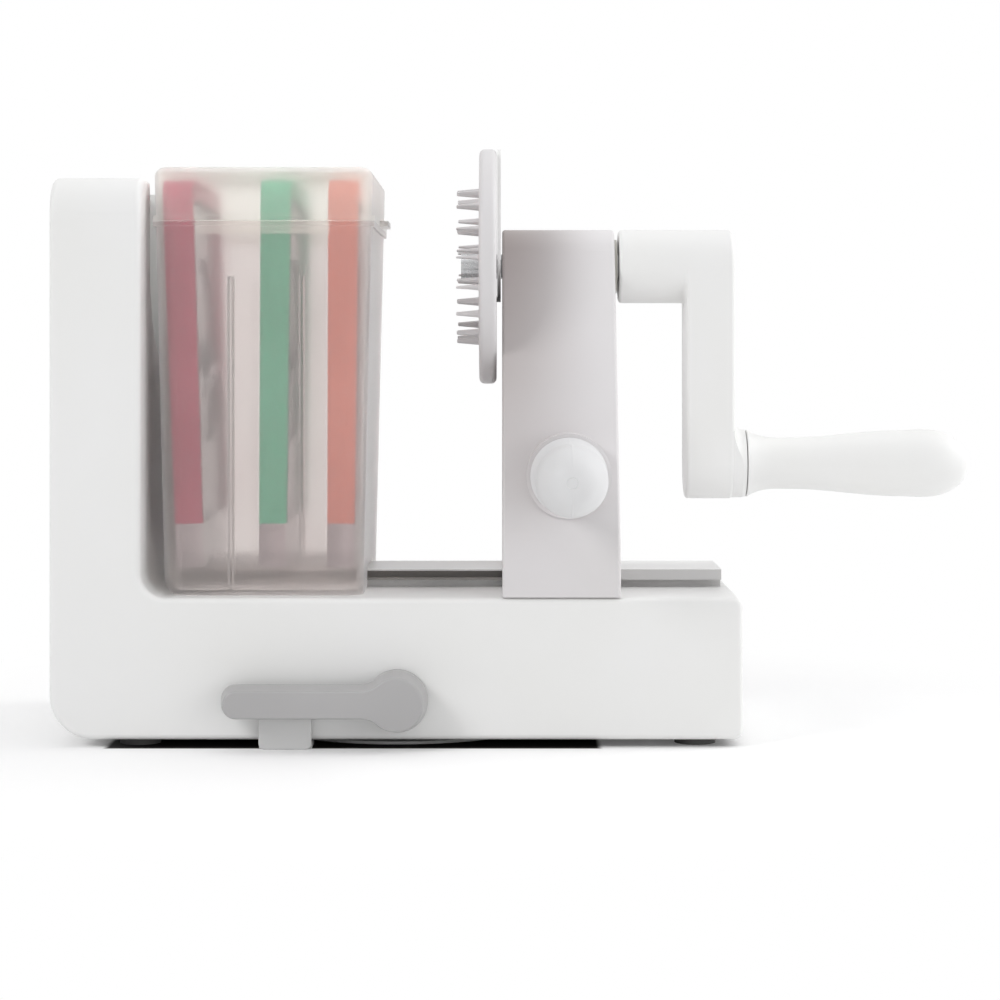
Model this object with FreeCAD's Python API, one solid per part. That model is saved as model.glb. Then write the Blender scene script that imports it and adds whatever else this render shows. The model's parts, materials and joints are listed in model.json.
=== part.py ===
import FreeCAD, Part
import math
import os

from FreeCAD import Vector

# Housing: a long base with an upright tower at its left end.
# The origin is on the table, in the middle of the base. X runs to the crank, Y runs away from the lever.
body_length = 266.7
body_depth = 130.0
deck_height = 57.4
base_gap = 3.0
shell_wall = 2.8
tower_thickness = 35.1
tower_height = 219.7
tower_top_radius = 14.0
lower_left_radius = 17.0
deck_fillet = 10.0
outer_corner_radius = 3.0
outer_edge_radius = 2.2

# General clearances
seat_gap = 0.3
running_gap = 0.05
touch_gap = 0.1

# Height of the crank axis above the table
crank_height = 187.0

# Window and blade slot in the tower
window_radius = 38.0
slot_lip = 3.4
slot_gap = 0.4

# Bottom cover with the well for the suction cup
cover_thickness = 2.5
cup_well_radius = 59.0
cup_well_height = 6.0
guide_hole_radius = 16.5
boss_radius = 4.0
cover_screw_radius = 1.4
cover_screw_length = 14.0
cover_screw_head_radius = 3.0
cover_screw_head_height = 1.6
cover_screw_left = 80.0
cover_screw_right = 98.0
cover_screw_side = 52.0
foot_radius = 8.0
foot_left = 100.0
foot_right = 116.0
foot_side = 50.0
foot_plug_radius = 3.0

# T-shaped rail on the deck
rail_width = 40.0
rail_stem_width = 30.0
rail_height = 7.25
rail_stem_height = 3.0
rail_right_end = 129.0
rail_groove_left = -82.0
rail_groove_right = 76.0
rail_groove_low = 3.9
rail_groove_height = 2.7
rail_groove_depth = 3.5
rail_screw_radius = 1.8
rail_screw_length = 9.0
rail_screw_head_radius = 3.4
rail_screw_head_height = 2.2
rail_screw_places = (-70.0, 10.0, 112.0)

# Carriage that slides along the rail
carriage_left = 40.9
carriage_width = 45.6
carriage_depth = 130.0
carriage_shoulder = 74.0
carriage_shoulder_radius = 45.0
carriage_top_radius = 15.0
carriage_wall = 2.8
carriage_edge_radius = 1.2
slide_plate_thickness = 3.0
hook_reach = 4.7
carriage_screw_radius = 1.6
carriage_screw_head_radius = 3.0
carriage_screw_head_height = 1.8
carriage_screw_boss_height = 12.0
carriage_screw_recess = 1.0
carriage_screw_end = 2.0
carriage_screw_inset = 10.0
carriage_screw_side = 50.0

# Crank shaft, its bushes and its clip
shaft_radius = 5.0
shaft_flat_height = 4.0
bush_radius = 9.0
bush_length = 8.0
bush_flange_radius = 11.0
bush_flange_thickness = 1.2
bush_boss_radius = 11.6
shaft_clip_radius = 8.5
shaft_clip_thickness = 1.2
shaft_groove_depth = 1.0

# Food holder: a disc with rings of spikes
holder_radius = 48.0
holder_left = 31.6
holder_thickness = 7.0
holder_edge_radius = 2.0
holder_bore_depth = 5.6
spike_length = 9.6
spike_width = 3.4
spike_root_thickness = 2.6
spike_root_depth = 0.5
spike_tip_width = 1.8
spike_tip_thickness = 0.7
outer_spike_count = 16
outer_spike_ring = 30.6
outer_spike_phase = 5.0
inner_spike_count = 8
inner_spike_ring = 15.5
inner_spike_phase = 22.5
centre_ring_radius = 5.2
centre_ring_wall = 0.8
centre_ring_length = 7.5
centre_ring_seat = 1.0

# Tab that frees the food holder from the shaft
tab_thickness = 1.4
tab_gap = 0.3
tab_hub_radius = 14.5
tab_width = 26.0
tab_corner_radius = 8.0
tab_travel = 2.0
tab_rise = 1.8
tab_shaft_gap = 0.1
tab_foot_width = 4.0
tab_foot_height = 2.0
tab_foot_depth = 2.6
spring_radius = 1.4
spring_wire = 0.4
spring_length = 7.0

# Crank
crank_gap = 0.7
crank_radius = 80.6
hub_radius = 15.0
arm_left = 115.6
arm_thickness = 19.4
arm_lower_radius = 14.4
arm_edge_radius = 1.5
arm_boss_radius = 13.7
arm_boss_length = 5.2
arm_flare_radius = 19.6
arm_trim = 0.4
shaft_seat_depth = 23.6
crank_screw_radius = 2.0
crank_screw_head_radius = 4.5
crank_screw_head_height = 3.0
crank_screw_reach = 8.0
hub_cap_radius = 7.2
hub_cap_thickness = 3.2

# Grip that turns on the crank, and the pin it turns on
grip_length = 91.5
grip_gap = 0.4
grip_root_radius = 13.7
grip_neck_radius = 10.5
grip_neck_place = 18.5
grip_bulge_radius = 13.5
grip_bulge_place = 63.0
grip_end_radius = 9.5
handle_dome_share = 0.5
grip_pin_radius = 4.0
grip_pin_seat = 19.0
grip_pin_length = 76.0
pin_collar_radius = 6.0
pin_collar_length = 3.0
grip_bush_radius = 8.0
grip_bush_length = 9.0

# Fixed handle on the front of the carriage
side_handle_place = 25.8
side_handle_height = 104.0
side_handle_end = 110.0
side_boss_radius = 16.5
side_boss_end = 60.0
side_pad_depth = 22.0
side_root_radius = 15.0
side_neck_radius = 11.5
side_neck_place = 14.0
side_bulge_radius = 13.6
side_bulge_place = 36.0
side_end_radius = 9.5
side_bolt_radius = 2.5
side_bolt_head_radius = 5.0
side_bolt_head_height = 3.0
side_bolt_length = 40.0

# Lock lever on the front of the base
lever_x = 0.6
lever_height = 18.5
lever_boss_radius = 11.8
lever_reach = 67.1
lever_half_width = 6.7
lever_end_radius = 5.6
lever_fillet_radius = 9.0
lever_draft = 1.8
lever_gap = 0.4
lever_boss_depth = 15.1
lever_arm_gap = 5.0
lever_shaft_radius = 4.0
lever_shaft_seat = 10.0
lever_shaft_tail = 2.0
lever_relief_gap = 2.0
lever_bush_radius = 6.5
lever_bush_inner_length = 4.0
bearing_post_width = 16.0
bearing_post_thickness = 5.0
bearing_post_place = 20.0
bearing_post_top = 28.0
cam_radius = 8.2
cam_lift = 3.0
cam_thickness = 9.0
lever_clip_radius = 7.0
lever_clip_thickness = 1.2

# Suction cup and the plunger that lifts its middle
cup_radius = 57.0
cup_rim_thickness = 1.2
cup_hub_radius = 12.0
cup_hub_height = 8.0
cup_shoulder_radius = 22.0
cup_shoulder_height = 6.0
cup_hollow_height = 3.0
cup_stud_radius = 5.0
cup_stud_height = 3.0
pull_tab_left = -52.4
pull_tab_width = 20.2
pull_tab_height = 15.0
pull_tab_thickness = 3.0
pull_strip_thickness = 2.2
pull_tab_gap = 1.3
pull_tab_corner_radius = 3.0
pull_tab_foot_radius = 2.4
plunger_stem_height = 5.8
yoke_half_width = 14.8
yoke_half_depth = 4.0
yoke_bar = 2.6
yoke_gap = 1.2

# Frosted box for the blades, standing over the rail, and its lid
box_bottom_left = -91.0
box_bottom_width = 77.6
box_bottom_depth = 110.0
box_top_left = -94.6
box_top_width = 85.1
box_top_depth = 117.0
blade_top_gap = 2.2
box_wall = 2.0
box_corner_radius = 8.0
box_lower_left_radius = 7.7
box_lower_left_slack = 0.05
box_top_edge_radius = 3.6
box_rail_gap = 1.2
lid_height = 21.1
seam_gap = 0.2
rim_reach = 1.2
rim_thickness = 1.9
lid_rim_thickness = 2.2
lid_lip_thickness = 1.2
lid_lip_depth = 4.7
lid_lip_root_low = 0.4
lid_lip_root_height = 1.6
lid_lip_left = -78.0
lid_lip_width = 52.0
thumb_lip_reach = 3.4
thumb_lip_width = 28.0
divider_left = 12.8
divider_right = 14.9
divider_thickness = 1.6
divider_reach = 9.0
divider_drop = 21.2

# Blades: a coloured edge grip round a clear frame with a steel knife
blade_height = 151.5
blade_width = 100.0
blade_top_thickness = 11.6
blade_bottom_thickness = 10.4
blade_axis_below_top = 67.0
grip_band_width = 6.0
grip_band_top = 8.0
grip_band_radius = 8.0
blade_foot_height = 17.0
frame_thickness = 6.0
plate_thickness = 3.0
slit_height = 9.5
slit_inner = 6.0
slit_outer = 35.5
knife_thickness = 0.8
knife_root = 6.0
knife_end_gap = 1.5
knife_edge_rise = 3.2
knife_overlap = 4.0
knife_bend_front = 1.0
knife_bend_back = 0.8
rivet_radius = 1.2
rivet_inset = 4.0
rivet_head_radius = 1.9
rivet_head_height = 0.5
comb_strip_height = 3.0
comb_tooth_length = 3.0
comb_tooth_thickness = 0.6
comb_gap = 0.6
comb_side_margin = 1.0
coring_ring_radius = 5.2
coring_ring_wall = 0.7
coring_ring_front = 5.2
coring_ring_back = 1.5
blade_stand_gap = 0.25
ribbon_bottom_inset = 10.1
ribbon_top_inset = 8.5
fine_bottom_offset = 3.4
fine_top_offset = 4.45
wide_bottom_inset = 8.8
wide_top_inset = 11.7
fine_tooth_pitch = 3.2
wide_tooth_pitch = 6.4

# Places worked out from the sizes above
housing_left = -body_length / 2
housing_right = body_length / 2
tower_inner = housing_left + tower_thickness
half_depth = body_depth / 2
slot_right = tower_inner - slot_lip
slot_left = slot_right - blade_top_thickness - 2 * slot_gap
slot_half = blade_width / 2 + slot_gap
slot_floor = crank_height + blade_axis_below_top - blade_height
cover_top = base_gap + cover_thickness
well_ceiling = base_gap + cup_well_height
well_floor_top = well_ceiling + cover_thickness
rail_left_end = tower_inner + deck_fillet
rail_top = deck_height + rail_height
rail_head_low = deck_height + rail_stem_height
carriage_right = carriage_left + carriage_width
carriage_bottom = deck_height + seat_gap
slide_plate_low = rail_top + seat_gap
slide_plate_top = slide_plate_low + slide_plate_thickness
holder_back = holder_left + holder_thickness
tab_left = holder_back + tab_gap
tab_right = tab_left + tab_thickness
hub_left = carriage_right + bush_flange_thickness + crank_gap
arm_right = arm_left + arm_thickness
shaft_right = hub_left + shaft_seat_depth
grip_height = crank_height - crank_radius
grip_left = arm_right + arm_boss_length + grip_gap
side_handle_x = carriage_left + side_handle_place
front_face = -half_depth
lever_front = front_face - lever_gap - lever_boss_depth
box_floor_low = deck_height + touch_gap
hump_top = rail_top + box_rail_gap + box_wall
blade_stand = hump_top + blade_stand_gap
box_top_height = blade_stand + blade_height + blade_top_gap + box_wall
seam_height = box_top_height - lid_height
divider_top = seam_height - divider_drop
box_bottom_right = box_bottom_left + box_bottom_width
box_bottom_middle = box_bottom_left + box_bottom_width / 2
box_top_right = box_top_left + box_top_width
box_top_middle = box_top_left + box_top_width / 2
divider_places = (box_bottom_middle - divider_left, box_bottom_middle + divider_right)
ribbon_bottom_x = box_bottom_left + ribbon_bottom_inset
ribbon_top_x = box_top_left + ribbon_top_inset
fine_bottom_x = box_bottom_middle + fine_bottom_offset
fine_top_x = box_top_middle + fine_top_offset
wide_bottom_x = box_bottom_right - wide_bottom_inset
wide_top_x = box_top_right - wide_top_inset


def block(x0, x1, y0, y1, z0, z1):
    return Part.makeBox(x1 - x0, y1 - y0, z1 - z0, Vector(x0, y0, z0))


def rod_x(radius, x0, x1, y=0.0, z=crank_height):
    return Part.makeCylinder(radius, x1 - x0, Vector(x0, y, z), Vector(1, 0, 0))


def rod_y(radius, y0, y1, x, z):
    return Part.makeCylinder(radius, y1 - y0, Vector(x, y0, z), Vector(0, 1, 0))


def rod_z(radius, z0, z1, x=0.0, y=0.0):
    return Part.makeCylinder(radius, z1 - z0, Vector(x, y, z0), Vector(0, 0, 1))


def outline(points, radii):
    # Closed outline through the points, each corner rounded by its own radius.
    corners = []
    count = len(points)
    for i in range(count):
        here = points[i]
        to_last = (points[i - 1] - here).normalize()
        to_next = (points[(i + 1) % count] - here).normalize()
        if radii[i] <= 0:
            corners.append((here, None, here))
            continue
        half_angle = to_last.getAngle(to_next) / 2
        reach = radii[i] / math.tan(half_angle)
        bisector = (to_last + to_next).normalize()
        middle = here + bisector * (radii[i] / math.sin(half_angle) - radii[i])
        corners.append((here + to_last * reach, middle, here + to_next * reach))
    edges = []
    for i in range(count):
        first, middle, last = corners[i]
        if middle is not None:
            edges.append(Part.Arc(first, middle, last).toShape())
        following = corners[(i + 1) % count][0]
        if last.distanceToPoint(following) > 1e-6:
            edges.append(Part.makeLine(last, following))
    return Part.Wire(edges)


def prism(points, radii, direction):
    return Part.Face(outline(points, radii)).extrude(direction)


def is_crease(shape, edge):
    # True where the two faces at an edge meet at an angle.
    faces = [face for face in shape.Faces if any(other.isSame(edge) for other in face.Edges)]
    if len(faces) != 2:
        return False
    middle = edge.valueAt((edge.FirstParameter + edge.LastParameter) / 2)
    normals = [face.normalAt(*face.Surface.parameter(middle)) for face in faces]
    return normals[0].getAngle(normals[1]) > math.radians(3)


def soften(shape, radius, above):
    # Rounds every crease that lies wholly or partly above a height.
    creases = [edge for edge in shape.Edges if edge.BoundBox.ZMax > above and is_crease(shape, edge)]
    return shape.makeFillet(radius, creases)


def link(x0, x1, high_z, high_radius, low_z, low_radius):
    # Tapered bar with round ends, flat in X, between two heights on the plane Y = 0.
    lean = math.asin((high_radius - low_radius) / (high_z - low_z))
    normal = Vector(0, math.cos(lean), -math.sin(lean))
    mirrored = Vector(0, -normal.y, normal.z)
    high = Vector(x0, 0, high_z)
    low = Vector(x0, 0, low_z)
    over = Part.Arc(high + mirrored * high_radius, high + Vector(0, 0, high_radius), high + normal * high_radius)
    under = Part.Arc(low + normal * low_radius, low - Vector(0, 0, low_radius), low + mirrored * low_radius)
    right_side = Part.makeLine(high + normal * high_radius, low + normal * low_radius)
    left_side = Part.makeLine(low + mirrored * low_radius, high + mirrored * high_radius)
    wire = Part.Wire([over.toShape(), right_side, under.toShape(), left_side])
    return Part.Face(wire).extrude(Vector(x1 - x0, 0, 0))


def handle_form(length, root, neck, neck_place, bulge, bulge_place, end):
    # Waisted handle along X from the origin, turned from one smooth profile with a round end.
    start = Vector(0, root, 0)
    dome = end * handle_dome_share
    ball = (end**2 + dome**2) / (2 * dome)
    centre = Vector(length - ball, 0, 0)
    crown = Vector(length - dome, end, 0)
    half_turn = math.asin(end / ball) / 2
    middle = centre + Vector(math.cos(half_turn), math.sin(half_turn), 0) * ball
    last_way = Vector(end, centre.x - crown.x, 0).normalize()
    first_way = Vector(1, -root / neck_place, 0).normalize()
    points = [start, Vector(neck_place, neck, 0), Vector(bulge_place, bulge, 0), crown]
    curve = Part.BSplineCurve()
    curve.interpolate(Points=points, InitialTangent=first_way, FinalTangent=last_way)
    side = curve.toShape()
    tip = Part.Arc(crown, middle, Vector(length, 0, 0)).toShape()
    axis = Part.makeLine(Vector(length, 0, 0), Vector(0, 0, 0))
    back = Part.makeLine(Vector(0, 0, 0), start)
    face = Part.Face(Part.Wire([side, tip, axis, back]))
    return face.revolve(Vector(0, 0, 0), Vector(1, 0, 0), 360)


def housing_form(inset):
    # The L form of the housing, shrunk by inset on every side.
    left = housing_left + inset
    right = housing_right - inset
    inner = tower_inner - inset
    low = base_gap + inset
    deck = deck_height - inset
    top = tower_height - inset
    half = half_depth - inset
    corner = outer_corner_radius - inset
    points = [
        Vector(left, -half, low),
        Vector(right, -half, low),
        Vector(right, -half, deck),
        Vector(inner, -half, deck),
        Vector(inner, -half, top),
        Vector(left, -half, top),
    ]
    radii = [lower_left_radius - inset, corner, corner, deck_fillet + inset, 0, 0]
    side = prism(points, radii, Vector(0, 2 * half, 0))
    end_points = [
        Vector(left, -half, low),
        Vector(left, half, low),
        Vector(left, half, top),
        Vector(left, -half, top),
    ]
    top_radius = tower_top_radius - inset
    end = prism(end_points, [0, 0, top_radius, top_radius], Vector(right - left, 0, 0))
    return side.common(end)


def window_form(radius):
    # Round window on the crank axis, open at the top of the tower.
    x0 = housing_left - 1
    x1 = tower_inner + 1
    ring = rod_x(radius, x0, x1)
    neck = block(x0, x1, -radius, radius, crank_height, tower_height + 1)
    return ring.fuse(neck)


def slot_form(margin):
    low = slot_floor - margin
    return block(
        slot_left - margin, slot_right + margin, -slot_half - margin, slot_half + margin, low, tower_height + 1
    )


def cover_screw_points():
    return [(x, y) for x in (-cover_screw_left, cover_screw_right) for y in (-cover_screw_side, cover_screw_side)]


def body_shell():
    outer = soften(housing_form(0), outer_edge_radius, 0)
    casing = window_form(window_radius + shell_wall).fuse(slot_form(shell_wall))
    cavity = housing_form(shell_wall).cut(casing)
    shell = outer.cut(cavity)
    shell = shell.cut(window_form(window_radius)).cut(slot_form(0))
    mouth_left = housing_left + lower_left_radius + seat_gap + shell_wall
    inner_half = half_depth - shell_wall
    mouth_top = base_gap + shell_wall + touch_gap
    mouth = block(mouth_left, housing_right - shell_wall, -inner_half, inner_half, base_gap - 1, mouth_top)
    shell = shell.cut(mouth)
    for x, y in cover_screw_points():
        boss = rod_z(boss_radius, cover_top + touch_gap, deck_height - shell_wall / 2, x, y)
        bore = rod_z(cover_screw_radius + touch_gap, 0, cover_top + cover_screw_length, x, y)
        shell = shell.fuse(boss).cut(bore)
    for x in rail_screw_places:
        shell = shell.cut(rod_z(rail_screw_radius + touch_gap, deck_height - 2 * shell_wall, rail_top, x))
    hole = rod_y(lever_bush_radius, front_face - 1, front_face + shell_wall + 1, lever_x, lever_height)
    return shell.cut(hole)


def bottom_cover():
    left = housing_left + lower_left_radius + 2 * seat_gap + shell_wall
    right = housing_right - shell_wall - seat_gap
    half = half_depth - shell_wall - seat_gap
    cover = block(left, right, -half, half, base_gap, cover_top)
    cover = cover.fuse(rod_z(cup_well_radius + cover_thickness, base_gap, well_floor_top))
    cover = cover.cut(rod_z(cup_well_radius, base_gap - 1, well_ceiling))
    cover = cover.cut(rod_z(guide_hole_radius, base_gap, well_floor_top + 1))
    for y in (-bearing_post_place, bearing_post_place):
        post = block(
            lever_x - bearing_post_width / 2,
            lever_x + bearing_post_width / 2,
            y - bearing_post_thickness / 2,
            y + bearing_post_thickness / 2,
            well_floor_top - touch_gap,
            bearing_post_top,
        )
        near = y - bearing_post_thickness
        far = y + bearing_post_thickness
        bore = rod_y(lever_shaft_radius + running_gap, near, far, lever_x, lever_height)
        cover = cover.fuse(post).cut(bore)
    for x, y in cover_screw_points():
        cover = cover.cut(rod_z(cover_screw_radius + touch_gap, 0, cover_top + 1, x, y))
        head = cover_screw_head_radius + touch_gap
        cover = cover.cut(rod_z(head, 0, base_gap + cover_screw_head_height, x, y))
    for x, y in foot_points():
        cover = cover.cut(rod_z(foot_plug_radius, 0, cover_top + 1, x, y))
    return cover


def cover_screws():
    screws = []
    for x, y in cover_screw_points():
        head = rod_z(cover_screw_head_radius, base_gap, base_gap + cover_screw_head_height, x, y)
        shank = rod_z(cover_screw_radius, base_gap, base_gap + cover_screw_length, x, y)
        screws.append(head.fuse(shank))
    return Part.makeCompound(screws)


def foot_points():
    return [(x, y) for x in (-foot_left, foot_right) for y in (-foot_side, foot_side)]


def rubber_foot(x, y):
    pad = rod_z(foot_radius, 0, base_gap, x, y)
    plug = rod_z(foot_plug_radius, base_gap, cover_top, x, y)
    return pad.fuse(plug)


def slide_rail():
    stem_half = rail_stem_width / 2
    head_half = rail_width / 2
    stem = block(rail_left_end, rail_right_end, -stem_half, stem_half, deck_height, rail_head_low)
    head = block(rail_left_end, rail_right_end, -head_half, head_half, rail_head_low, rail_top)
    rail = stem.fuse(head).removeSplitter()
    groove_low = deck_height + rail_groove_low
    groove_high = groove_low + rail_groove_height
    groove_floor = head_half - rail_groove_depth
    for y0, y1 in ((-head_half - 1, -groove_floor), (groove_floor, head_half + 1)):
        rail = rail.cut(block(rail_groove_left, rail_groove_right, y0, y1, groove_low, groove_high))
    for x in rail_screw_places:
        rail = rail.cut(rod_z(rail_screw_radius, deck_height - 1, deck_height + rail_screw_length / 2, x))
    return rail


def rail_screws():
    screws = []
    for x in rail_screw_places:
        low = deck_height - shell_wall
        head = rod_z(rail_screw_head_radius, low - rail_screw_head_height, low, x)
        shank = rod_z(rail_screw_radius, low, deck_height + rail_screw_length / 2, x)
        screws.append(head.fuse(shank))
    return Part.makeCompound(screws)


def suction_cup():
    # Turned from its section: a thin flexible skirt that is hollow below, with a hub and a stud on top.
    section = [
        Vector(0, 0, cup_hollow_height),
        Vector(cup_hub_radius, 0, cup_hollow_height),
        Vector(cup_radius - 2 * cup_rim_thickness, 0, 0),
        Vector(cup_radius, 0, 0),
        Vector(cup_radius, 0, cup_rim_thickness),
        Vector(cup_shoulder_radius, 0, cup_shoulder_height),
        Vector(cup_hub_radius, 0, cup_shoulder_height),
        Vector(cup_hub_radius, 0, cup_hub_height),
        Vector(cup_stud_radius, 0, cup_hub_height),
        Vector(cup_stud_radius, 0, cup_hub_height + cup_stud_height),
        Vector(0, 0, cup_hub_height + cup_stud_height),
    ]
    face = Part.Face(outline(section, [0] * len(section)))
    cup = face.revolve(Vector(0, 0, 0), Vector(0, 0, 1), 360)
    right = pull_tab_left + pull_tab_width
    flap_back = front_face - pull_tab_gap
    strip = block(pull_tab_left, right, flap_back, 0, 0, pull_strip_thickness)
    strip = strip.cut(rod_z(cup_radius - cup_rim_thickness, -1, pull_strip_thickness + 1))
    flap_points = [
        Vector(pull_tab_left, flap_back, 0),
        Vector(right, flap_back, 0),
        Vector(right, flap_back, pull_tab_height),
        Vector(pull_tab_left, flap_back, pull_tab_height),
    ]
    corner = pull_tab_corner_radius
    foot = pull_tab_foot_radius
    flap = prism(flap_points, [foot, foot, corner, corner], Vector(0, -pull_tab_thickness, 0))
    return cup.fuse(strip).fuse(flap).removeSplitter()


def cup_plunger():
    low = cup_hub_height + touch_gap
    stem_top = low + plunger_stem_height
    top_centre = lever_height + cam_lift
    window_low = top_centre - cam_radius - yoke_gap
    window_high = top_centre + cam_radius + yoke_gap
    stem = rod_z(guide_hole_radius - seat_gap, low, stem_top)
    left = lever_x - yoke_half_width
    right = lever_x + yoke_half_width
    yoke = block(left, right, -yoke_half_depth, yoke_half_depth, stem_top, window_high + yoke_bar)
    window = block(left + yoke_bar, right - yoke_bar, -half_depth, half_depth, window_low, window_high)
    stud = rod_z(cup_stud_radius, low - 1, low + cup_stud_height, 0, 0)
    return stem.fuse(yoke).cut(window).cut(stud)


def lever_shaft():
    front = lever_front + lever_boss_depth - lever_shaft_seat
    back = bearing_post_place + bearing_post_thickness / 2 + lever_clip_thickness + lever_shaft_tail
    return rod_y(lever_shaft_radius, front, back, lever_x, lever_height)


def lever_cam():
    disc = rod_y(cam_radius, -cam_thickness / 2, cam_thickness / 2, lever_x, lever_height + cam_lift)
    return disc.cut(rod_y(lever_shaft_radius, -cam_thickness, cam_thickness, lever_x, lever_height))


def lever_shaft_clip():
    start = bearing_post_place + bearing_post_thickness / 2 + touch_gap
    ring = rod_y(lever_clip_radius, start, start + lever_clip_thickness, lever_x, lever_height)
    bore = rod_y(lever_shaft_radius, start - 1, start + lever_clip_thickness + 1, lever_x, lever_height)
    return ring.cut(bore)


def lever_bush():
    back = front_face + shell_wall + lever_bush_inner_length
    sleeve = rod_y(lever_bush_radius, front_face, back, lever_x, lever_height)
    bore = rod_y(lever_shaft_radius + running_gap, front_face - 1, back + 1, lever_x, lever_height)
    return sleeve.cut(bore)


def lever_outline(inset, y):
    # Round boss with a straight arm to the left, joined by hollow curves, its sides moved in by inset.
    boss = lever_boss_radius - inset
    half = lever_half_width - inset
    hollow = lever_fillet_radius + inset
    end = lever_end_radius - inset / 2
    centre = Vector(lever_x, y, lever_height)
    tip_x = lever_x - lever_reach + inset
    reach = math.sqrt((boss + hollow) ** 2 - (half + hollow) ** 2)
    upper_hollow = centre + Vector(-reach, 0, half + hollow)
    lower_hollow = centre + Vector(-reach, 0, -half - hollow)

    def towards(origin, target, distance):
        return origin + (target - origin).normalize() * distance

    upper_joint = towards(centre, upper_hollow, boss)
    lower_joint = towards(centre, lower_hollow, boss)
    upper_start = centre + Vector(-reach, 0, half)
    lower_start = centre + Vector(-reach, 0, -half)
    upper_middle = towards(upper_hollow, (upper_joint + upper_start) * 0.5, hollow)
    lower_middle = towards(lower_hollow, (lower_joint + lower_start) * 0.5, hollow)
    half_diagonal = end * (1 - math.sqrt(0.5))
    z_high = lever_height + half
    z_low = lever_height - half
    edges = [
        Part.makeLine(upper_start, Vector(tip_x + end, y, z_high)),
        Part.Arc(
            Vector(tip_x + end, y, z_high),
            Vector(tip_x + half_diagonal, y, z_high - half_diagonal),
            Vector(tip_x, y, z_high - end),
        ).toShape(),
        Part.makeLine(Vector(tip_x, y, z_high - end), Vector(tip_x, y, z_low + end)),
        Part.Arc(
            Vector(tip_x, y, z_low + end),
            Vector(tip_x + half_diagonal, y, z_low + half_diagonal),
            Vector(tip_x + end, y, z_low),
        ).toShape(),
        Part.makeLine(Vector(tip_x + end, y, z_low), lower_start),
        Part.Arc(lower_start, lower_middle, lower_joint).toShape(),
        Part.Arc(lower_joint, centre + Vector(boss, 0, 0), upper_joint).toShape(),
        Part.Arc(upper_joint, upper_middle, upper_start).toShape(),
    ]
    return Part.Wire(edges)


def lock_lever():
    back = front_face - lever_gap
    form = Part.makeLoft([lever_outline(0, back), lever_outline(lever_draft, lever_front)], True, True)
    relief_right = lever_x - lever_boss_radius - lever_relief_gap
    relief_left = lever_x - lever_reach - 1
    tall = 2 * lever_half_width
    relief = block(
        relief_left, relief_right, back - lever_arm_gap, back + 1, lever_height - tall, lever_height + tall
    )
    seat = lever_front + lever_boss_depth - lever_shaft_seat
    bore = rod_y(lever_shaft_radius, seat, back + 1, lever_x, lever_height)
    return form.cut(relief).cut(bore)


def carriage_form(inset):
    # Upright with a wide foot and sides that lean in to a round top about the crank axis.
    half = carriage_depth / 2
    rise = crank_height - carriage_shoulder
    span = math.hypot(half, rise)
    lean = math.atan2(half, rise) - math.asin(carriage_top_radius / span)
    apex = crank_height + (carriage_top_radius - inset) / math.sin(lean)
    inner_half = half - inset
    shoulder = apex - inner_half / math.tan(lean)
    low = carriage_bottom - inset
    x0 = carriage_left + inset
    points = [
        Vector(x0, -inner_half, low),
        Vector(x0, inner_half, low),
        Vector(x0, inner_half, shoulder),
        Vector(x0, 0, apex),
        Vector(x0, -inner_half, shoulder),
    ]
    blend = carriage_shoulder_radius - inset
    radii = [0, 0, blend, carriage_top_radius - inset, blend]
    return prism(points, radii, Vector(carriage_width - 2 * inset, 0, 0))


def carriage_screw_points():
    xs = (carriage_left + carriage_screw_inset, carriage_right - carriage_screw_inset)
    return [(x, y) for x in xs for y in (-carriage_screw_side, carriage_screw_side)]


def carriage_shell():
    outer = soften(carriage_form(0), carriage_edge_radius, carriage_bottom + touch_gap)
    shell = outer.cut(carriage_form(carriage_wall))
    half_channel = rail_width / 2 + seat_gap
    channel = block(
        carriage_left - 1, carriage_right + 1, -half_channel, half_channel, carriage_bottom - 1, slide_plate_low
    )
    shell = shell.cut(channel)
    left_boss = rod_x(bush_boss_radius, carriage_left, carriage_left + bush_length)
    right_boss = rod_x(bush_boss_radius, carriage_right - bush_length, carriage_right)
    boss_back = -side_boss_end + side_pad_depth
    handle_boss = rod_y(side_boss_radius, -side_boss_end, boss_back, side_handle_x, side_handle_height)
    handle_boss = handle_boss.cut(carriage_form(carriage_wall))
    pad = rod_y(side_bolt_head_radius, -side_boss_end, boss_back, side_handle_x, side_handle_height)
    shell = shell.fuse(left_boss).fuse(right_boss).fuse(handle_boss).fuse(pad)
    shell = shell.cut(rod_x(bush_radius, carriage_left - 1, carriage_right + 1))
    bolt_hole = rod_y(side_bolt_radius, -side_boss_end - 1, 0, side_handle_x, side_handle_height)
    shell = shell.cut(bolt_hole)
    for x, y in carriage_screw_points():
        near_wall = carriage_left if x < side_handle_x else carriage_right
        low = slide_plate_top + touch_gap
        boss = block(
            min(near_wall, x - boss_radius),
            max(near_wall, x + boss_radius),
            y - boss_radius,
            y + boss_radius,
            low,
            low + carriage_screw_boss_height,
        )
        bore_top = low + carriage_screw_boss_height - carriage_screw_end
        shell = shell.fuse(boss.common(outer))
        shell = shell.cut(rod_z(carriage_screw_radius, 0, bore_top, x, y))
    return shell


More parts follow.
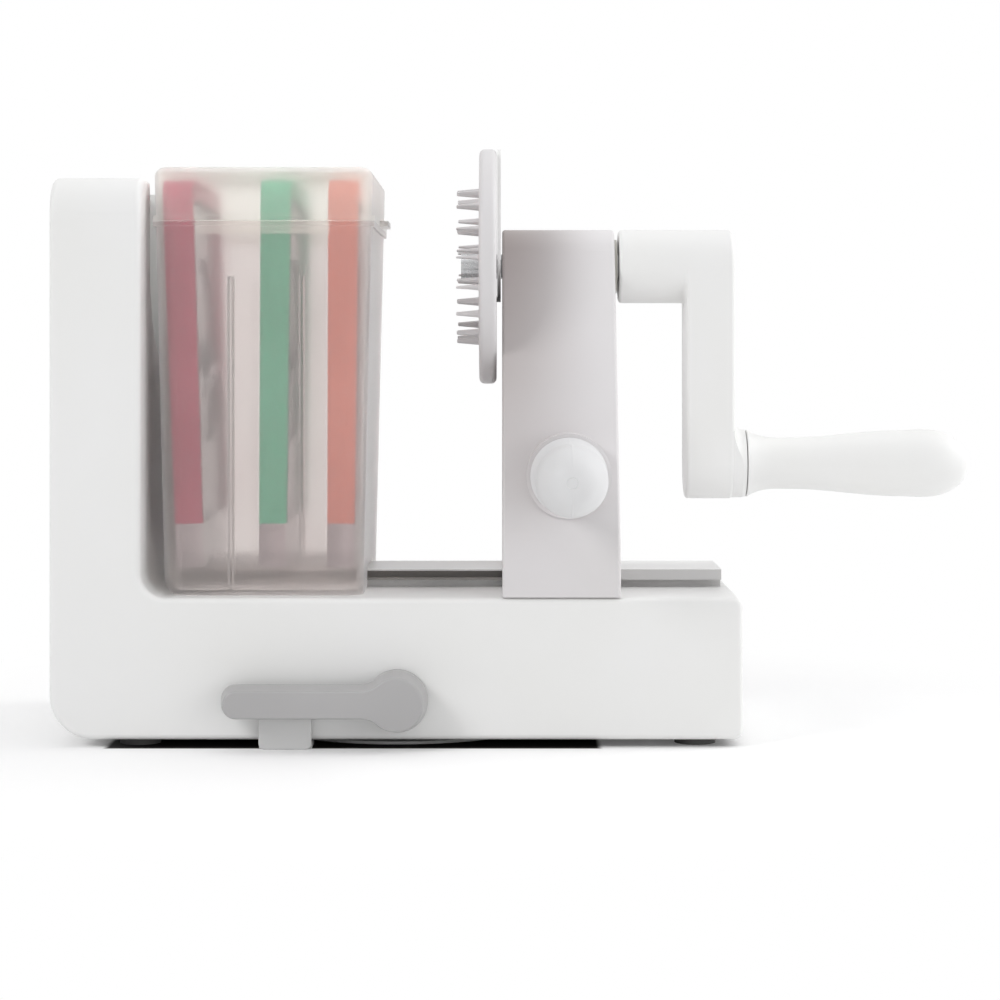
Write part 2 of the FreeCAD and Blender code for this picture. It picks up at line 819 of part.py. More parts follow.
def carriage_slide_plate():
    gap = seat_gap
    x0 = carriage_left + carriage_wall + gap
    x1 = carriage_right - carriage_wall - gap
    half = carriage_depth / 2 - carriage_wall - gap
    channel_half = rail_width / 2 + gap
    plate = block(x0, x1, -half, half, carriage_bottom + touch_gap, slide_plate_top)
    plate = plate.cut(block(x0 - 1, x1 + 1, -channel_half, channel_half, 0, slide_plate_low))
    for side in (-1, 1):
        inner = side * (channel_half - hook_reach - gap)
        outer = side * (channel_half + 1)
        hook = block(
            x0, x1, min(inner, outer), max(inner, outer), carriage_bottom + touch_gap, rail_head_low - gap
        )
        plate = plate.fuse(hook)
    for x, y in carriage_screw_points():
        plate = plate.cut(rod_z(carriage_screw_radius + touch_gap, 0, slide_plate_top + 1, x, y))
        head_top = carriage_bottom + touch_gap + carriage_screw_head_height + carriage_screw_recess
        plate = plate.cut(rod_z(carriage_screw_head_radius + touch_gap, 0, head_top, x, y))
    return plate


def carriage_screws():
    screws = []
    for x, y in carriage_screw_points():
        low = carriage_bottom + touch_gap + carriage_screw_recess
        high = slide_plate_top + carriage_screw_boss_height - carriage_screw_end - carriage_screw_recess
        head = rod_z(carriage_screw_head_radius, low, low + carriage_screw_head_height, x, y)
        shank = rod_z(carriage_screw_radius, low, high, x, y)
        screws.append(head.fuse(shank))
    return Part.makeCompound(screws)


def shaft_bush_left():
    sleeve = rod_x(bush_radius, carriage_left, carriage_left + bush_length)
    return sleeve.cut(rod_x(shaft_radius + running_gap, carriage_left - 1, carriage_left + bush_length + 1))


def shaft_bush_right():
    end = carriage_right + bush_flange_thickness
    sleeve = rod_x(bush_radius, carriage_right - bush_length, end)
    flange = rod_x(bush_flange_radius, carriage_right, end)
    return sleeve.fuse(flange).cut(rod_x(shaft_radius + running_gap, carriage_left, end + 1))


def shaft_flat(x0, x1, height):
    return block(x0, x1, -shaft_radius - 1, shaft_radius + 1, crank_height + height, crank_height + shaft_radius + 1)


def crank_shaft():
    left = holder_back - holder_bore_depth
    shaft = rod_x(shaft_radius, left, shaft_right)
    shaft = shaft.cut(shaft_flat(left - 1, holder_back, shaft_flat_height))
    groove_left = tab_left - tab_shaft_gap
    groove_right = tab_right + tab_shaft_gap
    groove = rod_x(shaft_radius + 1, groove_left, groove_right)
    groove_radius = shaft_radius + tab_shaft_gap - tab_travel - seat_gap
    groove = groove.cut(rod_x(groove_radius, groove_left, groove_right))
    clip_left = carriage_left + bush_length + seat_gap
    clip_right = clip_left + shaft_clip_thickness
    clip_groove = rod_x(shaft_radius + 1, clip_left, clip_right)
    clip_groove = clip_groove.cut(rod_x(shaft_radius - shaft_groove_depth, clip_left, clip_right))
    thread = rod_x(crank_screw_radius, shaft_right - crank_screw_reach, shaft_right + 1)
    return shaft.cut(groove).cut(clip_groove).cut(thread)


def shaft_clip():
    left = carriage_left + bush_length + seat_gap
    right = left + shaft_clip_thickness
    ring = rod_x(shaft_clip_radius, left, right).cut(rod_x(shaft_radius - shaft_groove_depth, left - 1, right + 1))
    mouth = shaft_radius - shaft_groove_depth
    return ring.cut(block(left - 1, right + 1, -mouth, mouth, crank_height - shaft_clip_radius - 1, crank_height))


def spike(angle, ring, length):
    # Flat fin that stands out of the disc and narrows to its tip.
    root = holder_left + spike_root_depth
    tip = holder_left - length
    wires = []
    for x, width, thick in ((root, spike_width, spike_root_thickness), (tip, spike_tip_width, spike_tip_thickness)):
        points = [
            Vector(x, ring - width / 2, crank_height - thick / 2),
            Vector(x, ring + width / 2, crank_height - thick / 2),
            Vector(x, ring + width / 2, crank_height + thick / 2),
            Vector(x, ring - width / 2, crank_height + thick / 2),
        ]
        wires.append(outline(points, [0, 0, 0, 0]))
    fin = Part.makeLoft(wires, True, True)
    fin.rotate(Vector(0, 0, crank_height), Vector(1, 0, 0), angle)
    return fin


def food_holder():
    disc = rod_x(holder_radius, holder_left, holder_back)
    rims = [edge for edge in disc.Edges if edge.Closed]
    disc = disc.makeFillet(holder_edge_radius, rims)
    for i in range(outer_spike_count):
        angle = outer_spike_phase + 360.0 * i / outer_spike_count
        disc = disc.fuse(spike(angle, outer_spike_ring, spike_length))
    for i in range(inner_spike_count):
        angle = inner_spike_phase + 360.0 * i / inner_spike_count
        disc = disc.fuse(spike(angle, inner_spike_ring, spike_length))
    bore = rod_x(shaft_radius, holder_back - holder_bore_depth, holder_back + 1)
    bore = bore.cut(shaft_flat(holder_left, holder_back + 2, shaft_flat_height))
    ring_seat = rod_x(centre_ring_radius, holder_left - 1, holder_left + centre_ring_seat)
    pocket_half = tab_foot_width / 2 + seat_gap
    pocket_low = crank_height - tab_hub_radius - spring_length - touch_gap
    pocket_high = crank_height - tab_hub_radius + tab_foot_height + seat_gap
    pocket_left = holder_back - tab_foot_depth - seat_gap
    pocket = block(pocket_left, holder_back + 1, -pocket_half, pocket_half, pocket_low, pocket_high)
    return disc.cut(bore).cut(ring_seat).cut(pocket)


def holder_centre_ring():
    left = holder_left - centre_ring_length
    right = holder_left + centre_ring_seat
    return rod_x(centre_ring_radius, left, right).cut(
        rod_x(centre_ring_radius - centre_ring_wall, left - 1, right + 1)
    )


def holder_release_tab():
    top = crank_height + holder_radius - tab_travel + tab_rise
    half = tab_width / 2
    points = [
        Vector(tab_left, -half, crank_height),
        Vector(tab_left, half, crank_height),
        Vector(tab_left, half, top),
        Vector(tab_left, -half, top),
    ]
    corner = tab_corner_radius
    thumb = prism(points, [0, 0, corner, corner], Vector(tab_thickness, 0, 0))
    plate = thumb.fuse(rod_x(tab_hub_radius, tab_left, tab_right))
    hole_radius = shaft_radius + tab_shaft_gap
    plate = plate.cut(rod_x(hole_radius, tab_left - 1, tab_right + 1, 0, crank_height + tab_travel))
    low = crank_height - tab_hub_radius
    half_foot = tab_foot_width / 2
    foot = block(holder_back - tab_foot_depth, tab_right, -half_foot, half_foot, low, low + tab_foot_height)
    return plate.fuse(foot).removeSplitter()


def release_spring():
    x = holder_back - tab_foot_depth / 2
    high = crank_height - tab_hub_radius
    sleeve = rod_z(spring_radius, high - spring_length, high, x)
    return sleeve.cut(rod_z(spring_radius - spring_wire, high - spring_length - 1, high + 1, x))


def arm_flare():
    # Hollow curve from the face of the arm to its boss, trimmed to the outline of the arm.
    right = arm_right + arm_boss_length
    middle_x = arm_right + arm_boss_length * (1 - math.sqrt(0.5))
    middle_r = arm_flare_radius - (arm_flare_radius - arm_boss_radius) * math.sqrt(0.5)
    hollow = Part.Arc(Vector(right, arm_boss_radius, 0), Vector(middle_x, middle_r, 0), Vector(arm_right, arm_flare_radius, 0))
    left = arm_right - arm_edge_radius - 1
    profile = [
        hollow.toShape(),
        Part.makeLine(Vector(arm_right, arm_flare_radius, 0), Vector(left, arm_flare_radius, 0)),
        Part.makeLine(Vector(left, arm_flare_radius, 0), Vector(left, 0, 0)),
        Part.makeLine(Vector(left, 0, 0), Vector(right, 0, 0)),
        Part.makeLine(Vector(right, 0, 0), Vector(right, arm_boss_radius, 0)),
    ]
    flare = Part.Face(Part.Wire(profile)).revolve(Vector(0, 0, 0), Vector(1, 0, 0), 360)
    flare.translate(Vector(0, 0, grip_height))
    trim = link(left - 1, right + 1, crank_height, hub_radius, grip_height, arm_lower_radius - arm_trim)
    return flare.common(trim)


def crank_arm():
    hub = rod_x(hub_radius, hub_left, arm_right)
    arm = link(arm_left, arm_right, crank_height, hub_radius, grip_height, arm_lower_radius)
    crank = soften(arm.fuse(hub).removeSplitter(), arm_edge_radius, 0).fuse(arm_flare())
    crank = crank.cut(rod_x(shaft_radius, hub_left - 1, shaft_right))
    crank = crank.cut(rod_x(crank_screw_radius + touch_gap, shaft_right - 1, arm_right + 1))
    cap_left = arm_right - hub_cap_thickness
    head_seat = cap_left - crank_screw_head_height - seat_gap
    crank = crank.cut(rod_x(hub_cap_radius, head_seat, arm_right + 1))
    pin_left = arm_right + arm_boss_length - grip_pin_seat
    return crank.cut(rod_x(grip_pin_radius, pin_left, arm_right + arm_boss_length + 1, 0, grip_height))


def crank_screw():
    head_left = arm_right - hub_cap_thickness - crank_screw_head_height - seat_gap
    shank = rod_x(crank_screw_radius, shaft_right - crank_screw_reach, head_left)
    return shank.fuse(rod_x(crank_screw_head_radius, head_left, head_left + crank_screw_head_height))


def crank_hub_cap():
    return rod_x(hub_cap_radius, arm_right - hub_cap_thickness, arm_right)


def pin_collar_left():
    return grip_left + grip_bush_length + touch_gap


def grip_pin():
    left = arm_right + arm_boss_length - grip_pin_seat
    pin = rod_x(grip_pin_radius, left, grip_left + grip_pin_length, 0, grip_height)
    start = pin_collar_left()
    return pin.fuse(rod_x(pin_collar_radius, start, start + pin_collar_length, 0, grip_height))


def grip_bush():
    sleeve = rod_x(grip_bush_radius, grip_left, grip_left + grip_bush_length, 0, grip_height)
    bore = rod_x(grip_pin_radius + running_gap, grip_left - 1, grip_left + grip_bush_length + 1, 0, grip_height)
    return sleeve.cut(bore)


def crank_grip():
    form = handle_form(
        grip_length,
        grip_root_radius,
        grip_neck_radius,
        grip_neck_place,
        grip_bulge_radius,
        grip_bulge_place,
        grip_end_radius,
    )
    form.translate(Vector(grip_left, 0, grip_height))
    mouth_right = pin_collar_left() + pin_collar_length + seat_gap
    mouth = rod_x(grip_bush_radius, grip_left - 1, mouth_right, 0, grip_height)
    bore_right = grip_left + grip_pin_length + 1
    bore = rod_x(grip_pin_radius + running_gap, grip_left, bore_right, 0, grip_height)
    return form.cut(mouth).cut(bore)


def side_handle():
    length = side_handle_end - side_boss_end
    form = handle_form(
        length,
        side_root_radius,
        side_neck_radius,
        side_neck_place,
        side_bulge_radius,
        side_bulge_place,
        side_end_radius,
    )
    reach = side_bolt_length - side_pad_depth
    bore = Part.makeCylinder(side_bolt_radius, reach + 1, Vector(-1, 0, 0), Vector(1, 0, 0))
    form = form.cut(bore)
    form.rotate(Vector(0, 0, 0), Vector(0, 0, 1), -90)
    form.translate(Vector(side_handle_x, -side_boss_end, side_handle_height))
    return form


def side_handle_bolt():
    inner = -side_boss_end + side_pad_depth
    outer = inner - side_bolt_length
    shank = rod_y(side_bolt_radius, outer, inner, side_handle_x, side_handle_height)
    head = rod_y(side_bolt_head_radius, inner, inner + side_bolt_head_height, side_handle_x, side_handle_height)
    return shank.fuse(head)


def box_side(height):
    # Left, right and half depth of the tapered box at one height.
    share = (height - deck_height) / (box_top_height - deck_height)
    left = box_bottom_left + (box_top_left - box_bottom_left) * share
    width = box_bottom_width + (box_top_width - box_bottom_width) * share
    depth = box_bottom_depth + (box_top_depth - box_bottom_depth) * share
    return left, left + width, depth / 2


def box_form(inset, low, high):
    # Piece of the tapered box between two heights, its sides moved in by inset.
    wires = []
    for height in (low, high):
        left, right, half = box_side(height)
        points = [
            Vector(left + inset, -half + inset, height),
            Vector(right - inset, -half + inset, height),
            Vector(right - inset, half - inset, height),
            Vector(left + inset, half - inset, height),
        ]
        wires.append(outline(points, [box_corner_radius - inset] * 4))
    return Part.makeLoft(wires, True, True)


def rounded_bottom(inset):
    # Space that rounds the lower left edge of the box off. Its flat sides stay a little outside the box.
    low = box_floor_low + inset - box_lower_left_slack
    high = box_top_height + box_wall
    low_left = box_side(low)[0] + inset - box_lower_left_slack
    high_left = box_side(high)[0] + inset - box_lower_left_slack
    far = box_top_right + box_wall
    points = [
        Vector(low_left, -box_top_depth, low),
        Vector(far, -box_top_depth, low),
        Vector(far, -box_top_depth, high),
        Vector(high_left, -box_top_depth, high),
    ]
    return prism(points, [box_lower_left_radius - inset, 0, 0, 0], Vector(0, 2 * box_top_depth, 0))


def blade_box():
    outer = box_form(0, box_floor_low, seam_height).common(rounded_bottom(0))
    inner = box_form(box_wall, box_floor_low + box_wall, seam_height + 1).common(rounded_bottom(box_wall))
    rim = box_form(-rim_reach, seam_height - rim_thickness, seam_height)
    hump_half = rail_width / 2 + box_rail_gap + box_wall
    left, right, half = box_side(seam_height)
    hump = block(left, right, -hump_half, hump_half, box_floor_low, hump_top)
    body = outer.fuse(rim).cut(inner).fuse(hump.common(outer))
    tunnel_half = rail_width / 2 + box_rail_gap
    body = body.cut(block(left - 1, right + 1, -tunnel_half, tunnel_half, 0, rail_top + box_rail_gap))
    for x in divider_places:
        rib_low = box_floor_low + box_wall / 2
        rib = block(x - divider_thickness / 2, x + divider_thickness / 2, -half, half, rib_low, divider_top)
        low_half = box_bottom_depth / 2 - box_wall - divider_reach
        rib = rib.cut(block(left, right, -low_half, low_half, deck_height, divider_top + 1)).common(outer)
        body = body.fuse(rib)
    return body


def box_lid():
    low = seam_height + seam_gap
    outer = box_form(0, low, box_top_height)
    top_edges = [edge for edge in outer.Edges if edge.BoundBox.ZMin > box_top_height - 0.01]
    outer = outer.makeFillet(box_top_edge_radius, top_edges)
    lid = outer.fuse(box_form(-rim_reach, low, low + lid_rim_thickness))
    lid = lid.cut(box_form(box_wall, seam_height, box_top_height - box_wall))
    inner_half = box_side(seam_height)[2] - box_wall
    for side in (-1, 1):
        outer_y = side * (inner_half - seat_gap)
        inner_y = side * (inner_half - seat_gap - lid_lip_thickness)
        y0 = min(outer_y, inner_y)
        y1 = max(outer_y, inner_y)
        lip_right = lid_lip_left + lid_lip_width
        lip = block(lid_lip_left, lip_right, y0, y1, seam_height - lid_lip_depth, low + lid_rim_thickness)
        wall_y = side * (inner_half + 1)
        root_low = low + lid_lip_root_low
        root_high = root_low + lid_lip_root_height
        root = block(lid_lip_left, lip_right, min(inner_y, wall_y), max(inner_y, wall_y), root_low, root_high)
        lid = lid.fuse(lip).fuse(root)
    right = box_side(low)[1] + rim_reach
    half = thumb_lip_width / 2
    points = [
        Vector(right - box_wall, -half, low),
        Vector(right + thumb_lip_reach, -half, low),
        Vector(right + thumb_lip_reach, half, low),
        Vector(right - box_wall, half, low),
    ]
    corner = thumb_lip_reach
    return lid.fuse(prism(points, [0, corner, corner, 0], Vector(0, 0, lid_rim_thickness))).removeSplitter()


def place_blade(shape, bottom_x, top_x):
    # A blade is drawn upright at the origin, then leaned and stood in the box.
    placed = shape.copy()
    lean = math.degrees(math.atan2(top_x - bottom_x, blade_height))
    placed.rotate(Vector(0, 0, 0), Vector(0, 1, 0), lean)
    placed.translate(Vector(bottom_x, 0, blade_stand))
    return placed


def blade_wedge(low, high):
    # The blade is thicker at the top than at the bottom.
    def half_at(height):
        return (blade_bottom_thickness + (blade_top_thickness - blade_bottom_thickness) * height / blade_height) / 2

    half_width = blade_width / 2
    points = [
        Vector(-half_at(low), -half_width, low),
        Vector(half_at(low), -half_width, low),
        Vector(half_at(high), -half_width, high),
        Vector(-half_at(high), -half_width, high),
    ]
    return prism(points, [0, 0, 0, 0], Vector(0, blade_width, 0))


def band_outline(inset, low, high, radius):
    half = blade_width / 2 - inset
    reach = blade_top_thickness
    points = [
        Vector(-reach, -half, low),
        Vector(-reach, half, low),
        Vector(-reach, half, high),
        Vector(-reach, -half, high),
    ]
    return prism(points, [0, 0, radius, radius], Vector(2 * reach, 0, 0))


def blade_grip():
    outer = band_outline(0, blade_foot_height, blade_height, grip_band_radius)
    inner_radius = grip_band_radius - grip_band_width
    inner = band_outline(grip_band_width, blade_foot_height - 1, blade_height - grip_band_top, inner_radius)
    return blade_wedge(blade_foot_height, blade_height).common(outer).cut(inner)


def blade_frame():
    axis = blade_height - blade_axis_below_top
    inner_radius = grip_band_radius - grip_band_width
    panel = band_outline(grip_band_width, blade_foot_height, blade_height - grip_band_top, inner_radius)
    slab = block(-frame_thickness / 2, frame_thickness / 2, -blade_width, blade_width, 0, blade_height)
    panel = panel.common(slab)
    plate_half = plate_thickness / 2
    disc_radius = window_radius
    for x0, x1 in ((plate_half, frame_thickness), (-frame_thickness, -plate_half)):
        panel = panel.cut(rod_x(disc_radius, x0, x1, 0, axis))
    slit = block(-frame_thickness, frame_thickness, slit_inner, slit_outer, axis - slit_height, axis)
    panel = panel.cut(slit).cut(rod_x(coring_ring_radius, -frame_thickness, frame_thickness, 0, axis))
    foot = blade_wedge(0, blade_foot_height)
    frame = panel.fuse(foot)
    for y in rivet_places():
        frame = frame.cut(rod_x(rivet_radius, -frame_thickness, frame_thickness, y, rivet_height()))
    return frame


def rivet_places():
    return (slit_inner + rivet_inset, slit_outer - knife_end_gap - rivet_inset)


def rivet_height():
    return blade_height - blade_axis_below_top - slit_height - knife_root / 2


def blade_knife():
    # Flat root on the plate, then a sharp edge that rises over the slit.
    low = blade_height - blade_axis_below_top - slit_height
    back = plate_thickness / 2
    front = back + knife_thickness
    points = [
        Vector(back, slit_inner, low - knife_root),
        Vector(front, slit_inner, low - knife_root),
        Vector(front, slit_inner, low - knife_bend_front),
        Vector(back + knife_edge_rise, slit_inner, low + knife_overlap),
        Vector(back, slit_inner, low - knife_bend_back),
    ]
    knife = prism(points, [0, 0, 0, 0, 0], Vector(0, slit_outer - slit_inner - knife_end_gap, 0))
    for y in rivet_places():
        knife = knife.cut(rod_x(rivet_radius, 0, frame_thickness, y, rivet_height()))
    return knife


def knife_rivet(y):
    back = plate_thickness / 2
    front = back + knife_thickness
    shank = rod_x(rivet_radius, -back, front, y, rivet_height())
    return shank.fuse(rod_x(rivet_head_radius, front, front + rivet_head_height, y, rivet_height()))


def blade_comb(pitch):
    # Strip above the slit with upright teeth that score the food before the knife lifts it.
    axis = blade_height - blade_axis_below_top
    back = plate_thickness / 2
    front = back + knife_thickness
    low = axis + comb_gap
    high = low + comb_strip_height
    start = slit_inner
    end = slit_outer - knife_end_gap
    comb = block(back, front, start, end, low, high)
    count = int((end - start - comb_side_margin) / pitch)
    first = start + (end - start - count * pitch) / 2
    for i in range(count + 1):
        y = first + i * pitch
        points = [
            Vector(back, y - comb_tooth_thickness / 2, low),
            Vector(front + comb_tooth_length, y - comb_tooth_thickness / 2, low + comb_strip_height / 2),
            Vector(back, y - comb_tooth_thickness / 2, high),
        ]
        comb = comb.fuse(prism(points, [0, 0, 0], Vector(0, comb_tooth_thickness, 0)))
    return comb.removeSplitter()


def coring_ring():
    axis = blade_height - blade_axis_below_top
    ring = rod_x(coring_ring_radius, -coring_ring_back, coring_ring_front, 0, axis)
    return ring.cut(rod_x(coring_ring_radius - coring_ring_wall, -frame_thickness, frame_thickness, 0, axis))


def save(name, shape):
    shape.exportStep("parts/" + name + ".step")
    print(name, "solids", len(shape.Solids), "valid", shape.isValid(), "volume", round(shape.Volume, 1))


def save_blade(name, bottom_x, top_x, pitch):
    pieces = {"frame": blade_frame(), "grip": blade_grip(), "knife": blade_knife(), "coring_ring": coring_ring()}
    if pitch:
        pieces["comb"] = blade_comb(pitch)
    for piece, shape in pieces.items():
        save(name + "_" + piece, place_blade(shape, bottom_x, top_x))
    return [place_blade(knife_rivet(y), bottom_x, top_x) for y in rivet_places()]


def main():
    os.makedirs("parts", exist_ok=True)
    save("body_shell", body_shell())
    save("bottom_cover", bottom_cover())
    save("cover_screws", cover_screws())
    names = ("rear_left", "rear_right", "front_left", "front_right")
    spots = ((-foot_left, foot_side), (foot_right, foot_side), (-foot_left, -foot_side), (foot_right, -foot_side))
    for name, spot in zip(names, spots):
        save("rubber_foot_" + name, rubber_foot(*spot))
    save("slide_rail", slide_rail())
    save("rail_screws", rail_screws())
    save("suction_cup", suction_cup())
    save("cup_plunger", cup_plunger())
    save("lever_shaft", lever_shaft())
    save("lever_cam", lever_cam())
    save("lever_shaft_clip", lever_shaft_clip())
    save("lever_bush", lever_bush())
    save("lock_lever", lock_lever())
    save("carriage_shell", carriage_shell())
    save("carriage_slide_plate", carriage_slide_plate())
    save("carriage_screws", carriage_screws())
    save("shaft_bush_left", shaft_bush_left())
    save("shaft_bush_right", shaft_bush_right())
    save("side_handle", side_handle())
    save("side_handle_bolt", side_handle_bolt())
    save("crank_shaft", crank_shaft())
    save("shaft_clip", shaft_clip())
    save("food_holder", food_holder())
    save("holder_centre_ring", holder_centre_ring())
    save("holder_release_tab", holder_release_tab())
    save("release_spring", release_spring())
    save("crank_arm", crank_arm())
    save("crank_screw", crank_screw())
    save("crank_hub_cap", crank_hub_cap())
    save("grip_pin", grip_pin())
    save("grip_bush", grip_bush())
    save("crank_grip", crank_grip())
    save("blade_box", blade_box())
    save("box_lid", box_lid())
    rivets = save_blade("ribbon_blade", ribbon_bottom_x, ribbon_top_x, 0)
    rivets += save_blade("fine_blade", fine_bottom_x, fine_top_x, fine_tooth_pitch)
    rivets += save_blade("wide_blade", wide_bottom_x, wide_top_x, wide_tooth_pitch)
    save("knife_rivets", Part.makeCompound(rivets))


main()
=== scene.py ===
import bpy, bmesh, json, math
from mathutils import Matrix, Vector


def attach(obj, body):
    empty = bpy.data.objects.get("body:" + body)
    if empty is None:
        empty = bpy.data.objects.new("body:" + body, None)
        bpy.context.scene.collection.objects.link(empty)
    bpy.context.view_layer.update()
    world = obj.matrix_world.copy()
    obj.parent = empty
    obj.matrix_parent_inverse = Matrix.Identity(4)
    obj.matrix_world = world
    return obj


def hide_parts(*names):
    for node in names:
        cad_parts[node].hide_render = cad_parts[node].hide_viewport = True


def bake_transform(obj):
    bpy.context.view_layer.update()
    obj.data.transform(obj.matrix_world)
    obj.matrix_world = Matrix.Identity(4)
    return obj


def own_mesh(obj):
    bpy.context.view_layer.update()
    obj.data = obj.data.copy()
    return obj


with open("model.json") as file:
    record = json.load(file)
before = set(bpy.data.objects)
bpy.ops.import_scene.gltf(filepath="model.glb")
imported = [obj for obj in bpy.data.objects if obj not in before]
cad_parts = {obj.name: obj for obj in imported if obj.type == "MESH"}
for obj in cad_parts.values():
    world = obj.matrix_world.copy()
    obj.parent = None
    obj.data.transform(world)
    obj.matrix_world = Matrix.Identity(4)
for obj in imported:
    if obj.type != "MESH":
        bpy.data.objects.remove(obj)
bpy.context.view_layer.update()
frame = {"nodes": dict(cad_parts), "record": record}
nodes = frame["nodes"]
scene = bpy.context.scene
mm = 0.001
origin, rightward, frontward, upward = (Vector(way) for way in ((0, 0, 0), (1, 0, 0), (0, -1, 0), (0, 0, 1)))


# Small helpers

def fromHex(text):
    # sRGB hex to the linear colour that a socket takes
    parts = [int(text[i:i + 2], 16) / 255 for i in (0, 2, 4)]
    return tuple(c / 12.92 if c <= 0.04045 else ((c + 0.055) / 1.055) ** 2.4 for c in parts) + (1.0,)


def addNode(tree, kind, values=None, links=None, **settings):
    node = tree.nodes.new(kind)
    for key, value in settings.items():
        setattr(node, key, value)
    for key, value in (values or {}).items():
        node.inputs[key].default_value = value
    for key, source in (links or {}).items():
        tree.links.new(source, node.inputs[key])
    return node


def newMaterial(name):
    material = bpy.data.materials.new(name)
    material.use_nodes = True
    material.node_tree.nodes.clear()
    return material, material.node_tree


def perMetre(featureMm):
    return 1.0 / (featureMm * mm)  # noise scale for a feature of that size on Object coordinates


# Camera: level, 950 mm in front of the base, its axis 153 mm above the table

cameraSizes = {"place": (0.040, -1.015, 0.1528), "lens": 89.06, "sensor": 36, "shift": -0.15, "nearest": 0.01}
cameraData = bpy.data.cameras.new("camera")
cameraData.lens = cameraSizes["lens"]
cameraData.sensor_width = cameraSizes["sensor"]
cameraData.shift_y = cameraSizes["shift"]
cameraData.clip_start = cameraSizes["nearest"]
camera = bpy.data.objects.new("camera", cameraData)
camera.location = cameraSizes["place"]
camera.rotation_euler = (math.radians(90), 0, 0)
scene.collection.objects.link(camera)
scene.camera = camera
print("camera ready")


# Stage and light, in metres

stageSizes = {"floorHalf": 6.0, "middle": (0.02, 0.0, 0.0), "shadowNear": 0.13, "shadowFar": 0.30,
              "underMiddle": (-0.0165, -0.002, 0.0), "underHalf": (0.0965, 0.066, 1.0), "underSoft": 0.003,
              "paper": "f8f8f8", "under": "1e1c1c", "lift": 0.09, "fibre": 1.5}
roomLight = {"colour": "fdfdff", "strength": 0.46}
lamps = {  # place, what it points at, size, watts
    "overheadSoftbox": ((0.0, 0.1, 1.5), (0.0, 0.0, 0.05), 1.8, 6.2),
    "keySoftbox": ((-1.35, -1.2, 1.2), (0.0, 0.0, 0.1), 0.7, 12.6),
    "rightSoftbox": ((1.45, 0.25, 1.0), (0.0, 0.0, 0.12), 1.0, 9.8),
    "sideFill": ((1.6, 0.05, 0.16), (-0.05, 0.0, 0.12), 0.7, 3.6),
    "lowFill": ((1.1, -1.05, 0.2), (0.0, 0.0, 0.12), 0.8, 3.6),
}


def seenPart(tree):
    # 1 for what the camera sees, also in gloss and through clear walls, and 0 for the light on the object
    path = addNode(tree, "ShaderNodeLightPath")
    seen = addNode(tree, "ShaderNodeMath", None,
                   {0: path.outputs["Is Camera Ray"], 1: path.outputs["Is Glossy Ray"]}, operation="MAXIMUM")
    seen = addNode(tree, "ShaderNodeMath", None, {0: seen.outputs[0], 1: path.outputs["Is Transmission Ray"]},
                   operation="MAXIMUM")
    return seen.outputs[0]


def paintedShadowUnderBase(tree, place):
    # 1 on the floor right under the base, where hardly any light comes, and 0 around it: the mask of a painted shadow
    centred = addNode(tree, "ShaderNodeVectorMath", {1: stageSizes["underMiddle"]}, {0: place}, operation="SUBTRACT")
    positive = addNode(tree, "ShaderNodeVectorMath", None, {0: centred.outputs[0]}, operation="ABSOLUTE")
    inside = addNode(tree, "ShaderNodeVectorMath", {1: stageSizes["underHalf"]}, {0: positive.outputs[0]},
                     operation="SUBTRACT")
    apart = addNode(tree, "ShaderNodeSeparateXYZ", None, {0: inside.outputs[0]})
    edge = addNode(tree, "ShaderNodeMath", None, {0: apart.outputs["X"], 1: apart.outputs["Y"]}, operation="MAXIMUM")
    under = addNode(tree, "ShaderNodeMapRange",
                    {"From Min": -stageSizes["underSoft"], "From Max": 0.0, "To Min": 1.0, "To Max": 0.0},
                    {"Value": edge.outputs[0]}, interpolation_type="SMOOTHSTEP")
    return under.outputs["Result"]


